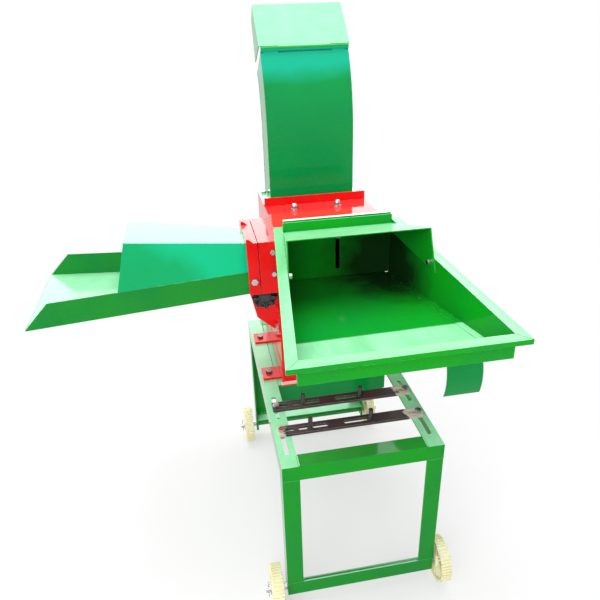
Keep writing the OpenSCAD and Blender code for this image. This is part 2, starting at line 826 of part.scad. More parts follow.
// Hinge pins of the lid and of the flap
module hinge_pins() color(steel) placed() {
    bar_x_axis([knuckle_x[0] - 3, hinge_y, hinge_z], hinge_pin_r, 2*knuckle_l + 8);
    bar_x_axis([knuckle_x[1] - 3, hinge_y, hinge_z], hinge_pin_r, 2*knuckle_l + 8);
    bar_x_axis([spout_x + 4, flap_pin_y, flap_pin_z], hinge_pin_r - 0.5, spout_w - 8);
}

// Places of the spout flange's bolts
function spout_bolt_xy() = [
    for (x = [spout_x - small_w/2 - 2, spout_x + spout_w + small_w/2 + 2],
         y = [spout_front + 16, spout_front + spout_d - 16]) [x, y]];
module spout_bolt_holes(z, h)
    for (p = spout_bolt_xy()) translate([p[0], p[1], z]) cylinder(r = small_r + hole_c, h = h);

// Places of the hood's bolts
hood_bolts_y = [hood_front_y - 8, hood_back_y - 24];
function hood_bolt_z(y) = rim_z(y) - 13;

// Hex bolts, all over the machine
module hex_bolts() color(steel) placed() {
    for (x = foot_bolts_x, y = foot_y) translate([x, y, foot_top]) hex_bolt(foot_t + angle_t);
    for (i = [0:3]) {
        a = 45 + 90*i;
        y = axis_y + cup_bolt_r*cos(a);
        z = axis_z + cup_bolt_r*sin(a);
        translate([house_x - cup_flange_t, y, z]) rotate([0, -90, 0]) hex_bolt(cup_flange_t + side_t, nut = false);
        translate([house_r + cup_flange_t, y, z]) rotate([0, 90, 0]) hex_bolt(cup_flange_t + side_t, nut = false);
    }
    for (p = spout_bolt_xy()) translate([p[0], p[1], house_top + house_t]) hex_bolt(2*house_t, small_r, small_w);
    for (y = hood_bolts_y, s = [-1, 1])
        translate([tray_x + s*(wall_half(y) - 2*sheet_t - slide_c - 0.05), y, hood_bolt_z(y)])
            rotate([0, 0, s*wall_turn]) rotate([0, -s*90, 0])
                hex_bolt(2*sheet_t + slide_c + 0.1, small_r, small_w);
    translate([tray_x, gate_y - 0.2, gate_bolt_z]) rotate([90, 0, 0])
        hex_bolt(gate_t + 1.7 + header_t);
    translate([collar_x + collar_leg/2, collar_front, collar_bolt_z]) rotate([90, 0, 0])
        hex_bolt(throat_t, nut = false);
    cover_bolt_places() hex_bolt(throat_t, small_r, small_w, nut = false, tail = 1);
    translate([house_x - throat_t, gusset_bolt_y, gusset_bolt_z]) rotate([0, -90, 0])
        hex_bolt(throat_t + side_t, nut = false, tail = 0);
}

// Main shaft: turns in the two bearings, with a keyway under the pulley
module main_shaft() color(steel) placed() {
    difference() {
        bar_x_axis([shaft_l0, axis_y, axis_z], shaft_r, shaft_l1 - shaft_l0);
        translate([pulley_x + 4, axis_y - key_w/2, axis_z + shaft_r - key_h/2])
            cube([key_l, key_w, key_h]);
    }
}

// Cutter disc: carries the knives on its left face
module cutter_disc() color(dark_steel) placed() {
    difference() {
        union() {
            bar_x_axis([disc_x, axis_y, axis_z], disc_r, disc_t);
            bar_x_axis([disc_x, axis_y, axis_z], hub_r, disc_t + hub_l);
        }
        bar_x_axis([disc_x - 1, axis_y, axis_z], shaft_r + run_c, disc_t + hub_l + 2);
        knife_bolt_places(disc_x - 1) cylinder(r = bolt_r + hole_c, h = disc_t + 2);
    }
}
module knife_bolt_places(x)
    for (i = [0:knife_n - 1], r = knife_bolts_r)
        translate([x, axis_y, axis_z]) rotate([knife_turn + i*360/knife_n, 0, 0]) translate([0, r, 0])
            rotate([0, 90, 0]) children();

// Knives: bevelled blades on thick seats, bolted through the disc
module knives() color(steel) placed() {
    bevel = 9;
    difference() {
        for (i = [0:knife_n - 1]) translate([disc_x, axis_y, axis_z]) rotate([knife_turn + i*360/knife_n, 0, 0])
            translate([0, knife_in_r, 0]) rotate([-90, 0, 0]) linear_extrude(rotor_r - knife_in_r - 1) polygon([
                [0, -knife_w/2], [0, knife_w/2], [-knife_t, knife_w/2],
                [-knife_t, knife_w/2 - 2], [-knife_t + bevel, -knife_w/2]]);
        knife_bolt_places(disc_x - knife_t - 1) cylinder(r = bolt_r + hole_c, h = knife_t + 2);
        knife_bolt_places(disc_x - knife_t - 1) cylinder(r = head_w/2 + 1, h = knife_t - 4);
    }
}

// Knife bolts: heads sunk in the knife seats, nuts behind the disc
module knife_bolts() color(steel) placed()
    knife_bolt_places(disc_x - 5) mirror([0, 0, 1]) translate([0, 0, 0.2]) hex_bolt(5 + disc_t + 0.4);

// End disc: carries the far ends of the paddles
module end_disc() color(dark_steel) placed() {
    difference() {
        union() {
            bar_x_axis([end_disc_x, axis_y, axis_z], end_disc_r, end_disc_t);
            bar_x_axis([end_disc_x - hub_l, axis_y, axis_z], hub_r, end_disc_t + hub_l);
        }
        bar_x_axis([end_disc_x - hub_l - 1, axis_y, axis_z], shaft_r + run_c, end_disc_t + hub_l + 2);
    }
}

// Thrower paddles: flat bars between the two discs
module thrower_paddles() color(dark_steel) placed() {
    for (i = [0:paddle_n - 1]) translate([disc_x + disc_t, axis_y, axis_z])
        rotate([paddle_turn + i*360/paddle_n, 0, 0]) translate([0, paddle_in_r, -paddle_t/2])
            cube([paddle_l, rotor_r - paddle_in_r, paddle_t]);
}

// Drive pulley: two vee grooves, keyed to the shaft's right end
module drive_pulley() color(cast_iron) placed() {
    groove = 13;
    depth = 14;
    pitch = 19;
    difference() {
        translate([pulley_x, axis_y, axis_z]) rotate([0, 90, 0]) rotate_extrude($fn = 96) difference() {
            union() {
                translate([shaft_r + run_c, 0]) square([2*shaft_r, pulley_w]);
                translate([shaft_r + run_c, pulley_w/2 - 5]) square([pulley_r - shaft_r - run_c, 10]);
                translate([pulley_r - depth - 8, 0]) square([depth + 8, pulley_w]);
            }
            for (side = [-1, 1]) translate([pulley_r, pulley_w/2 + side*pitch/2]) polygon([
                [1, -groove/2], [1, groove/2], [-depth, groove/2 - 4], [-depth, -groove/2 + 4]]);
        }
        translate([pulley_x + 4 - 0.1, axis_y - key_w/2 - 0.1, axis_z])
            cube([pulley_w, key_w + 0.2, shaft_r + key_h/2 + 0.2]);
    }
}
module pulley_key() color(steel) placed()
    translate([pulley_x + 4 + 0.1, axis_y - key_w/2 + 0.1, axis_z + shaft_r - key_h/2 + 0.1])
        cube([key_l - 0.2, key_w - 0.2, key_h - 0.2]);

// Worm: one thread, cut for the worm wheel above it
module worm() color(dark_steel) placed() {
    root = worm_r - worm_add - 0.6;
    tip = worm_r + worm_add;
    turn = 360*worm_l/worm_pitch;
    phase = 180 - 360*(worm_l/2)/worm_pitch;
    difference() {
        translate([feed_x - worm_l/2, axis_y, axis_z]) rotate([0, 90, 0]) rotate([0, 0, 180 + phase])
            linear_extrude(worm_l, twist = -turn, slices = 52) polygon([
                for (i = [0:23]) let (a = i*15, s = abs(a > 180 ? 360 - a : a),
                    r = s < 36 ? tip : s > 84 ? root : tip - (s - 36)/48*(tip - root)) [r*cos(a), r*sin(a)]]);
        bar_x_axis([feed_x - worm_l/2 - 1, axis_y, axis_z], shaft_r + run_c, worm_l + 2);
    }
}

// Bearing housings: flanged cups in the side plates, the left one cut away for the worm wheel
module bearing_cup(out) {
    difference() {
        union() {
            cylinder(r = cup_flange_r, h = cup_flange_t);
            translate([0, 0, -cup_in]) cylinder(r = cup_r, h = cup_in + out);
        }
        translate([0, 0, -cup_in - 1]) cylinder(r = shaft_r + 1.5, h = cup_in + out + 2);
        translate([0, 0, -cup_in + 4]) cylinder(r = bearing_r + run_c, h = bearing_w + 0.2);
        translate([0, 0, -cup_in + 4]) cylinder(r = bearing_r - 3, h = cup_in + out);
        for (i = [0:3]) rotate([0, 0, 45 + 90*i]) translate([cup_bolt_r, 0, -1])
            cylinder(r = bolt_r + hole_c, h = cup_flange_t + 2);
    }
}
module bearing_housings() color(cast_iron) placed() {
    difference() {
        translate([house_x, axis_y, axis_z]) rotate([0, -90, 0]) bearing_cup(cup_flange_t);
        bar_y_axis([feed_x, axis_y - worm_wheel_t/2 - swing_c, lower_z], worm_wheel_tip + swing_c,
                   worm_wheel_t + 2*swing_c);
    }
    translate([house_r, axis_y, axis_z]) rotate([0, 90, 0]) bearing_cup(cup_out);
}

// Ball bearings in the housings
module bearings() color(steel) placed() {
    for (x = [house_x + cup_in - 4 - bearing_w - 0.1, house_r - cup_in + 4 + 0.1]) difference() {
        bar_x_axis([x, axis_y, axis_z], bearing_r, bearing_w);
        bar_x_axis([x - 1, axis_y, axis_z], shaft_r + run_c, bearing_w + 2);
    }
}

// Ledger knife: the fixed edge that the knives cut against
module ledger_knife() color(steel) placed()
    translate([in_l, feed_y - cheek_gap/2 - 6, trough_z - 1 - ledger_h]) cube([ledger_t, cheek_gap + 12, ledger_h]);

// Front faces of collar and gear cover: upright, then leaning back above the fold
module throat_front(x, l, low) {
    thick_x(x, l) polygon([
        [collar_front, low], [collar_front, collar_fold],
        [collar_front + collar_lean, collar_top], [collar_front + collar_lean + throat_t, collar_top],
        [collar_front + throat_t, collar_fold], [collar_front + throat_t, low]]);
}

// Inlet collar: the frame that the trough and its cover are fixed to
module inlet_collar() color(red) placed() {
    ear = 9;
    difference() {
        union() {
            throat_front(collar_x, collar_leg, collar_low);
            translate([collar_x, collar_front + collar_lean, collar_top - throat_t])
                cube([collar_leg, collar_back - collar_front - collar_lean, throat_t]);
            translate([collar_x, collar_back - throat_t, collar_low])
                cube([collar_leg, throat_t, collar_top - collar_low]);
            difference() {
                thick_x(collar_x, throat_t) polygon([
                    [collar_front, collar_low], [collar_front, collar_fold],
                    [collar_front + collar_lean, collar_top], [collar_back, collar_top],
                    [collar_back, collar_low]]);
                thick_x(collar_x - 1, throat_t + 2) polygon([
                    [feed_y - cheek_gap/2, collar_low - 1], [feed_y - cheek_gap/2, collar_fold],
                    [feed_y - cover_in_w/2 + 4, collar_top - 14], [feed_y + cover_in_w/2 - 4, collar_top - 14],
                    [feed_y + cheek_gap/2, collar_fold], [feed_y + cheek_gap/2, collar_low - 1]]);
            }
            for (y = [collar_front + collar_lean, feed_y + cover_in_w/2]) thick_y(y, throat_t) polygon([
                [collar_x, collar_top - 1], [collar_x + 16, collar_top - 1],
                [collar_x + 5, collar_top + ear], [collar_x, collar_top + ear]]);
        }
        bar_y_axis([collar_x + collar_leg/2, collar_front - 1, collar_bolt_z], bolt_r + hole_c, throat_t + 2);
    }
}

// The gear cover's bolts, on its upright and leaning fronts
module cover_bolt_places() {
    lean = atan2(collar_lean, collar_top - collar_fold);
    translate([cover_bolt_x, collar_front, collar_fold - 9]) rotate([90, 0, 0]) children();
    translate([cover_bolt_x, collar_front, collar_fold]) rotate([-lean, 0, 0])
        translate([0, 0, cover_bolt_up]) rotate([90, 0, 0]) children();
}

// Gear cover: beside the collar, over the gears and springs
module gear_cover() color(red) placed() {
    x = collar_x + collar_leg + 1.5;
    l = house_x - x;
    difference() {
        throat_front(x, l, collar_low);
        cover_bolt_places() translate([0, 0, -throat_t - 2]) cylinder(r = small_r + hole_c, h = throat_t + 4);
    }
    translate([x, collar_front + collar_lean, collar_top - throat_t])
        cube([l, collar_back - collar_front - collar_lean, throat_t]);
    translate([x, collar_back - throat_t, collar_low + 30]) cube([l, throat_t, collar_top - collar_low - 30]);
}

// Roller cheeks: plates that carry the rollers; the near one runs down as a gusset
module cheek(y, low) {
    slot_low = block_rest - 2;
    difference() {
        thick_y(y, cheek_t) difference() {
            polygon(low);
            translate([feed_x, lower_z]) circle(r = roller_shaft_r + run_c);
            translate([feed_x - block_w/2 - slide_c, slot_low])
                square([block_w + 2*slide_c, cheek_top - slot_low + 1]);
        }
    }
}
module roller_cheeks() color(red) placed() {
    left = collar_x + throat_t;
    cheek(cheek_y[0], [[left, cheek_top], [left, collar_low - 12], [left + 12, gusset_low + 38],
                       [house_x - 6, gusset_low], [house_x, gusset_low], [house_x, cheek_top]]);
    difference() {
        translate([house_x - throat_t, cheek_y[0] - 18, gusset_low]) cube([throat_t, 18.01, 58]);
        bar_x_axis([house_x - throat_t - 1, gusset_bolt_y, gusset_bolt_z], bolt_r + hole_c, throat_t + 2);
    }
    rear_low = axis_z + worm_r + worm_add + 3;
    rear_high = axis_z + cup_flange_r + 1;
    rear_end = house_x - cup_flange_t - 1;
    cheek(cheek_y[1], [[left, cheek_top], [left, rear_low], [rear_end, rear_low],
                       [rear_end, rear_high], [house_x, rear_high], [house_x, cheek_top]]);
}

// Throat floor: strips on both sides of the lower roller
module throat_floor() color(red) placed() {
    floor_t = 3;
    left = collar_x + throat_t;
    for (s = [[left, feed_x - lower_r - 1], [feed_x + lower_r + 1, house_x]])
        translate([s[0], cheek_y[0] + cheek_t, trough_z - floor_t - 1])
            cube([s[1] - s[0], cheek_gap, floor_t]);
}

// The ribbed drum of a feed roller, with its shaft
module feed_roller(z, r, y0, y1) {
    rib = 3;
    teeth = [for (i = [0:roller_ribs - 1], k = [0:3])
        let (a = (i + [0.02, 0.2, 0.32, 0.7][k])*360/roller_ribs, q = [r, r, r - rib, r - rib][k])
            [q*cos(a), q*sin(a)]];
    translate([feed_x, roller_y + roller_l, z]) rotate([90, 0, 0]) linear_extrude(roller_l) polygon(teeth);
    bar_y_axis([feed_x, y0, z], roller_shaft_r, y1 - y0);
}

// A star gear, its teeth long enough to stay in mesh as the upper roller lifts
module star_gear(z, turn) {
    root_half = 3;
    tip_half = 1.6;
    step = 360/star_teeth;
    root_a = asin(root_half/star_root_r);
    tip_a = asin(tip_half/star_tip_r);
    outline = [for (i = [0:star_teeth - 1], k = [0:3])
        let (a = turn + i*step + [-root_a, -tip_a, tip_a, root_a][k],
             q = [star_root_r, star_tip_r, star_tip_r, star_root_r][k]) [q*cos(a), q*sin(a)]];
    translate([feed_x, star_y + star_t, z]) rotate([90, 0, 0]) linear_extrude(star_t) difference() {
        polygon(outline);
        circle(r = roller_shaft_r + run_c);
    }
}

// Lower feed roller, its worm wheel at the back and its star gear at the front
module lower_feed_roller() color(dark_steel) placed()
    feed_roller(lower_z, lower_r, star_y - 1, axis_y + worm_wheel_t/2 + 3);
module lower_roller_gear() color(cast_iron) placed() {
    star_gear(lower_z, 90);
    difference() {
        union() {
            bar_y_axis([feed_x, star_y + star_t - 1, lower_z], star_root_r - 2, star_back_t + 1);
            bar_y_axis([feed_x, star_y + star_t + slide_c, lower_z], star_back_r, star_back_t - slide_c);
        }
        bar_y_axis([feed_x, star_y, lower_z], roller_shaft_r + run_c, 2*star_t);
    }
}
module worm_wheel() color("darkgoldenrod") placed() {
    root = worm_wheel_r - worm_add - 0.7;
    step = 360/wheel_teeth;
    outline = [for (i = [0:wheel_teeth - 1], k = [0:3])
        let (a = -90 + (i + [-0.24, -0.08, 0.08, 0.24][k])*step, q = [root, worm_wheel_tip, worm_wheel_tip, root][k])
            [q*cos(a), q*sin(a)]];
    translate([feed_x, axis_y + worm_wheel_t/2, lower_z]) rotate([90, 0, 0]) linear_extrude(worm_wheel_t)
        difference() {
            polygon(outline);
            circle(r = roller_shaft_r + run_c);
        }
}

// Upper feed roller and its star gear, carried by the sliding blocks
module upper_feed_roller() color(dark_steel) placed()
    feed_roller(upper_z, upper_r, star_y - 1, cheek_y[1] + cheek_t + 4);
module upper_roller_gear() color(cast_iron) placed() star_gear(upper_z, 90 + 180/star_teeth);

// Sliding blocks: let the upper roller rise in the cheeks' slots
module sliding_blocks() color(cast_iron) placed() {
    flange = 5;
    flange_t = 2.5;
    for (rear = [0, 1]) difference() {
        union() {
            translate([feed_x - block_w/2, cheek_y[rear], block_rest]) cube([block_w, cheek_t, block_h]);
            translate([feed_x - block_w/2 - flange, rear ? cheek_y[1] + cheek_t + slide_c :
                       cheek_y[0] - slide_c - flange_t, block_rest]) cube([block_w + 2*flange, flange_t, block_h]);
            translate([feed_x - block_w/2, rear ? cheek_y[1] + cheek_t - 1 : cheek_y[0] - slide_c - 1, block_rest])
                cube([block_w, slide_c + 2, block_h]);
        }
        bar_y_axis([feed_x, cheek_y[rear] - 10, upper_z], roller_shaft_r + run_c, cheek_t + 20);
    }
}

// Pressure springs: one unbroken wire each, pushing the sliding blocks down
spring_turn = spring_high - spring_low - 4*wire_r;
function spring_point(t) = [coil_r*cos(360*curls*t), coil_r*sin(360*curls*t), 2*wire_r + spring_turn*t];
spring_path = concat(
    [[coil_r, 0, 0]],
    [for (i = [0:8*curls]) spring_point(i/(8*curls))],
    [[coil_r, 0, spring_high - spring_low]]);
spring_gap = min([for (i = [1:8*curls + 1], j = [1:8*curls + 1]) if (j > i + 5)
    norm(spring_path[i] - spring_path[j])]) - 2*wire_r;
module tube(path, r, sides) {
    n = len(path);
    rings = [for (i = [0:n - 1]) let (
        d = path[min(i + 1, n - 1)] - path[max(i - 1, 0)], t = d/norm(d),
        out = [path[i][0], path[i][1], 0]/norm([path[i][0], path[i][1]]),
        u = (out - (out*t)*t)/norm(out - (out*t)*t), v = cross(t, u))
        [for (k = [0:sides - 1]) path[i] + r*cos(360*k/sides)*u + r*sin(360*k/sides)*v]];
    skin = [for (i = [0:n - 2], k = [0:sides - 1], half = [0, 1]) let (
        a = i*sides + k, b = i*sides + (k + 1)%sides) half ? [a, a + sides, b + sides] : [a, b + sides, b]];
    caps = [[for (k = [0:sides - 1]) k], [for (k = [sides - 1:-1:0]) (n - 1)*sides + k]];
    polyhedron(points = [for (ring = rings, p = ring) p], faces = concat(skin, caps), convexity = 10);
}
module pressure_springs() color(steel) placed() {
    echo(spring_gap = spring_gap);
    for (rear = [0, 1]) translate([feed_x, cheek_y[rear] + cheek_t/2 + (2*rear - 1)*spring_out, spring_low])
        tube(spring_path, wire_r, 6);
}

// Feed trough: a folded channel, wider at its outer end
function trough_half(x) = trough_in_w/2 + (trough_out_w - trough_in_w)/2*(collar_x - x)/trough_l;
module feed_trough() color(green) placed() {
    outer = collar_x - trough_l;
    a = trough_half(outer);
    b = trough_half(collar_x);
    t = sheet_t;
    sheet([[outer, feed_y - a, trough_z], [collar_x, feed_y - b, trough_z],
           [collar_x, feed_y + b, trough_z], [outer, feed_y + a, trough_z]], [0, 0, -t]);
    for (s = [-1, 1]) sheet([
        [outer, feed_y + s*a, trough_z - t], [collar_x, feed_y + s*b, trough_z - t],
        [collar_x, feed_y + s*b, trough_z + trough_h],
        [outer + trough_cut, feed_y + s*trough_half(outer + trough_cut), trough_z + trough_h]], [0, -s*t, 0]);
}

// Trough cover: a tapered hood over the inner part of the trough
module trough_cover() color(green) placed() {
    low = trough_z + trough_h + slide_c;
    outer = collar_x - cover_l;
    a = trough_half(outer);
    b = trough_half(collar_x);
    t = sheet_t;
    lip = 8;
    top = [[outer + cover_cut, cover_out_w/2, low + cover_out_h], [collar_x, cover_in_w/2, low + cover_in_h]];
    sheet([[top[0][0], feed_y - top[0][1], top[0][2]], [top[1][0], feed_y - top[1][1], top[1][2]],
           [top[1][0], feed_y + top[1][1], top[1][2]], [top[0][0], feed_y + top[0][1], top[0][2]]], [0, 0, -t]);
    for (s = [-1, 1]) {
        p = [outer, feed_y + s*a, low];
        q = [collar_x, feed_y + s*b, low];
        u = [top[0][0], feed_y + s*top[0][1], top[0][2]];
        v = [top[1][0], feed_y + s*top[1][1], top[1][2]];
        sheet([p, q, v], [0, -s*t, 0]);
        sheet([p, v, u], [0, -s*t, 0]);
        sheet([[outer, feed_y + s*(a - t - slide_c), low + t], [collar_x, feed_y + s*(b - t - slide_c), low + t],
               [collar_x, feed_y + s*(b - t - slide_c), low - lip],
               [outer, feed_y + s*(a - t - slide_c), low - lip]], [0, -s*t, 0]);
    }
}

// Heights and half width of the tray along its length
function rim_z(y) = rim_front_z + rim_slope*(y + tray_front + rim_w);
function floor_z(y) = floor_front_z + (floor_back_z - floor_front_z)*(y + tray_front)/tray_run;
function wall_half(y) = tray_front_w/2 + (tray_back_w - tray_front_w)/2*(y + tray_front)/tray_run;

// Feed tray: a flared pan with a turned-out rim, open at the back
module feed_tray() color(green) placed() {
    f = -tray_front;
    b = house_y;
    t = sheet_t;
    edge = f - rim_w;
    sheet([[tray_x - wall_half(f), f, floor_z(f)], [tray_x + wall_half(f), f, floor_z(f)],
           [tray_x + wall_half(b), b, floor_z(b)], [tray_x - wall_half(b), b, floor_z(b)]], [0, 0, -t]);
    sheet([[tray_x - wall_half(f), f, floor_z(f) - t], [tray_x + wall_half(f), f, floor_z(f) - t],
           [tray_x + wall_half(f), f, rim_z(f)], [tray_x - wall_half(f), f, rim_z(f)]], [0, t, 0]);
    sheet([[tray_x - wall_half(edge) - rim_w, edge, rim_z(edge)], [tray_x + wall_half(edge) + rim_w, edge, rim_z(edge)],
           [tray_x + wall_half(f) + rim_w, f + t, rim_z(f + t)], [tray_x - wall_half(f) - rim_w, f + t, rim_z(f + t)]],
          [0, 0, -t]);
    sheet([[tray_x - wall_half(edge) - rim_w, edge, rim_z(edge)], [tray_x + wall_half(edge) + rim_w, edge, rim_z(edge)],
           [tray_x + wall_half(edge) + rim_w, edge, rim_z(edge) - rim_lip],
           [tray_x - wall_half(edge) - rim_w, edge, rim_z(edge) - rim_lip]], [0, t, 0]);
    difference() {
        union() for (s = [-1, 1]) {
            sheet([[tray_x + s*wall_half(f), f, floor_z(f) - t], [tray_x + s*wall_half(b), b, floor_z(b) - t],
                   [tray_x + s*wall_half(b), b, rim_z(b)], [tray_x + s*wall_half(f), f, rim_z(f)]], [-s*t, 0, 0]);
            sheet([[tray_x + s*(wall_half(f) - t), f, rim_z(f)], [tray_x + s*(wall_half(b) - t), b, rim_z(b)],
                   [tray_x + s*(wall_half(b) + rim_w), b, rim_z(b)],
                   [tray_x + s*(wall_half(f) + rim_w), f, rim_z(f)]], [0, 0, -t]);
            sheet([[tray_x + s*(wall_half(edge) + rim_w), edge, rim_z(edge)],
                   [tray_x + s*(wall_half(b) + rim_w), b, rim_z(b)],
                   [tray_x + s*(wall_half(b) + rim_w), b, rim_z(b) - rim_lip],
                   [tray_x + s*(wall_half(edge) + rim_w), edge, rim_z(edge) - rim_lip]], [-s*t, 0, 0]);
        }
        hood_bolt_holes();
    }
}
module hood_bolt_holes()
    for (y = hood_bolts_y)
        bar_x_axis([tray_x - tray_front_w, y, hood_bolt_z(y)], small_r + 3*hole_c, 2*tray_front_w);

// Tray hood: a wedge-shaped guard over the tray's back, turned up at the gate
module tray_hood() color(green) placed() {
    t = sheet_t;
    f = hood_front_y;
    b = hood_back_y;
    step = t + slide_c;
    sheet([[tray_x - wall_half(f) + step, f, hood_front_z], [tray_x + wall_half(f) - step, f, hood_front_z],
           [tray_x + wall_half(b) - step, b, hood_back_z], [tray_x - wall_half(b) + step, b, hood_back_z]], [0, 0, -t]);
    translate([tray_x - wall_half(b) + step, b - t, hood_back_z - t])
        cube([2*(wall_half(b) - step), t, hood_lip + t]);
    low = f - hood_lean;
    difference() {
        for (s = [-1, 1]) sheet([
            [tray_x + s*(wall_half(f) - step), f, hood_front_z],
            [tray_x + s*(wall_half(low) - step), low, rim_z(low) - hood_overlap],
            [tray_x + s*(wall_half(b) - step), b, rim_z(b) - hood_overlap],
            [tray_x + s*(wall_half(b) - step), b, hood_back_z]], [-s*t, 0, 0]);
        hood_bolt_holes();
    }
}

// Feed gate: slides up behind the hood, held by one bolt in its slot
module feed_gate() color(green) placed() {
    low = floor_z(gate_y) + 1;
    difference() {
        union() {
            translate([tray_x - gate_w/2, gate_y, low]) cube([gate_w, gate_t, gate_top + gate_t - low]);
            translate([tray_x - gate_w/2, gate_y, gate_top]) cube([gate_w, grip_l, gate_t]);
        }
        thick_y(gate_y - 1, gate_t + 2) {
            r = gate_slot_w/2;
            translate([tray_x, low + gate_slot_z]) circle(r = r);
            translate([tray_x, gate_bolt_z + 1]) circle(r = r);
            translate([tray_x - r, low + gate_slot_z]) square([gate_slot_w, gate_bolt_z + 1 - low - gate_slot_z]);
        }
    }
}

// The spout's outline between two bend radii, in y and z
module spout_outline(outer, inner) {
    translate([spout_front + spout_r - outer, house_top]) square([outer - inner, spout_h + 0.01]);
    translate([spout_front + spout_r, spout_bend_z]) intersection() {
        difference() {
            circle(r = outer, $fn = 180);
            circle(r = inner, $fn = 180);
        }
        polygon([[0, 0], [-2*spout_r, 0], [-2*spout_r*cos(spout_bend), 2*spout_r*sin(spout_bend)]]);
    }
}

// Discharge spout: a tall duct bent to the back, with a foot flange and knuckles
module discharge_spout() color(green) placed() {
    back_r = spout_r - spout_d;
    difference() {
        union() {
            for (x = [spout_x, spout_x + spout_w - sheet_t]) thick_x(x, sheet_t) spout_outline(spout_r, back_r);
            thick_x(spout_x + sheet_t, spout_w - 2*sheet_t) spout_outline(spout_r, spout_r - sheet_t);
            thick_x(spout_x + sheet_t, spout_w - 2*sheet_t) spout_outline(back_r + sheet_t, back_r);
            difference() {
                translate([spout_x - spout_flange, spout_front - spout_flange, house_top])
                    cube([spout_w + 2*spout_flange, spout_d + spout_flange, house_t]);
                translate([spout_x + 1, spout_front + 1, house_top - 1])
                    cube([spout_w - 2, spout_d - 2, house_t + 2]);
                spout_bolt_holes(house_top - 1, house_t + 2);
            }
            for (x = [spout_x + 6, spout_x + spout_w - 6 - flap_knuckle_l]) {
                bar_x_axis([x, flap_pin_y, flap_pin_z], flap_knuckle_r, flap_knuckle_l);
                thick_x(x, flap_knuckle_l) polygon([
                    [flap_pin_y - 3, flap_pin_z], [flap_pin_y - 3, spout_end_z - 8],
                    [flap_pin_y + 1, spout_end_z - 8], [flap_pin_y + 3, flap_pin_z]]);
            }
        }
        bar_x_axis([spout_x - 1, flap_pin_y, flap_pin_z], hinge_pin_r - 0.5 + run_c, spout_w + 2);
    }
}

// Spout flap: a turned-down deflector, hinged at the spout's top
module spout_flap() color(green) placed() {
    knuckle_span = spout_w - 2*(6 + flap_knuckle_l + 1);
    r = flap_knuckle_r;
    leaf_span = knuckle_span - 2;
    leaf_in = r*0.55;
    translate([0, flap_pin_y, flap_pin_z]) difference() {
        union() {
            rotate([flap_angle, 0, 0]) {
                translate([flap_x, r + 1, r - sheet_t + 1]) cube([flap_w, flap_l - r - 1, sheet_t]);
                translate([house_mid - leaf_span/2, leaf_in, leaf_in])
                    cube([leaf_span, r + 2 - leaf_in, r + 1 - leaf_in]);
                for (x = [flap_x, flap_x + flap_w - sheet_t]) thick_x(x, sheet_t) polygon([
                    [r + 2, r + 0.5], [flap_l, r + 0.5], [flap_l, -flap_tip_d], [36, -flap_d]]);
            }
            bar_x_axis([house_mid - knuckle_span/2, 0, 0], r, knuckle_span);
        }
        bar_x_axis([spout_x, 0, 0], hinge_pin_r - 0.5 + run_c, spout_w);
    }
}

// The guard's outline: two round ends, joined
module guard_outline(r) {
    translate([motor_y, motor_z]) {
        circle(r = r, $fn = 96);
        rotate(guard_tilt) {
            translate([0, -r]) square([guard_len, 2*r]);
            translate([guard_len, 0]) circle(r = r, $fn = 96);
        }
    }
}

module guard_cut()
    translate([motor_y - 2*guard_r, motor_z - guard_drop - 3*guard_r]) square([guard_len + 4*guard_r, 3*guard_r]);

// Belt guard: a side plate and a band round it, cut off level below
module belt_guard() color(green) placed() {
    difference() {
        union() {
            thick_x(guard_x + guard_w - sheet_t, sheet_t) difference() {
                guard_outline(guard_r);
                guard_cut();
            }
            thick_x(guard_x, guard_w - sheet_t + 0.01) difference() {
                guard_outline(guard_r);
                guard_outline(guard_r - sheet_t);
                guard_cut();
            }
        }
        for (p = stay_at) translate([0, p[0], p[1]]) bar_x_axis([guard_x, 0, 0], stay_r/2 + run_c + 1, guard_w + 1);
    }
}

// Guard stays: studs from the right side plate to the guard's side plate
module guard_stays() color(steel) placed() {
    for (p = stay_at) {
        bar_x_axis([in_r - 6, p[0], p[1]], stay_r, guard_x + guard_w - sheet_t - in_r + 6 - stay_seat);
        bar_x_axis([guard_x, p[0], p[1]], stay_r/2, guard_w + 6);
        translate([guard_x + guard_w + stay_seat, p[0], p[1]]) rotate([0, 90, 0])
            cylinder(r = head_w/2, h = head_h, $fn = 6);
        translate([in_r - 6, p[0], p[1]]) rotate([0, 90, 0]) cylinder(r = head_w/2, h = 5.8, $fn = 6);
    }
}

// Outlet chute: a hopper between the rails, drawn in to the left
module outlet_chute() color(green) placed() {
    t = sheet_t;
    l = angle_leg + chute_c;
    r = stand_w - angle_leg - chute_c;
    f = house_y + chute_lap;
    b = min(house_back - house_t - chute_lap, stand_l - angle_leg - chute_c);
    ml = in_l + chute_lap;
    mr = min(ml + chute_mouth, r);
    strip = in_l + chute_lap - l;
    for (y = [f, b - t]) sheet([[l, y, chute_top], [r, y, chute_top], [r, y, chute_fold],
                                [mr, y, chute_low], [ml, y, chute_low], [l, y, chute_fold]], [0, t, 0]);
    for (w = [[l, ml, t], [r, mr, -t]]) {
        sheet([[w[0], f, chute_top], [w[0], b, chute_top], [w[0], b, chute_fold], [w[0], f, chute_fold]], [w[2], 0, 0]);
        sheet([[w[0], f, chute_fold], [w[0], b, chute_fold], [w[1], b, chute_low], [w[1], f, chute_low]], [w[2], 0, 0]);
    }
    for (s = [[l, l + strip], [min(in_r - chute_lap, r - strip), r]])
        translate([s[0], f, chute_top - t]) cube([s[1] - s[0], b - f, t]);
}

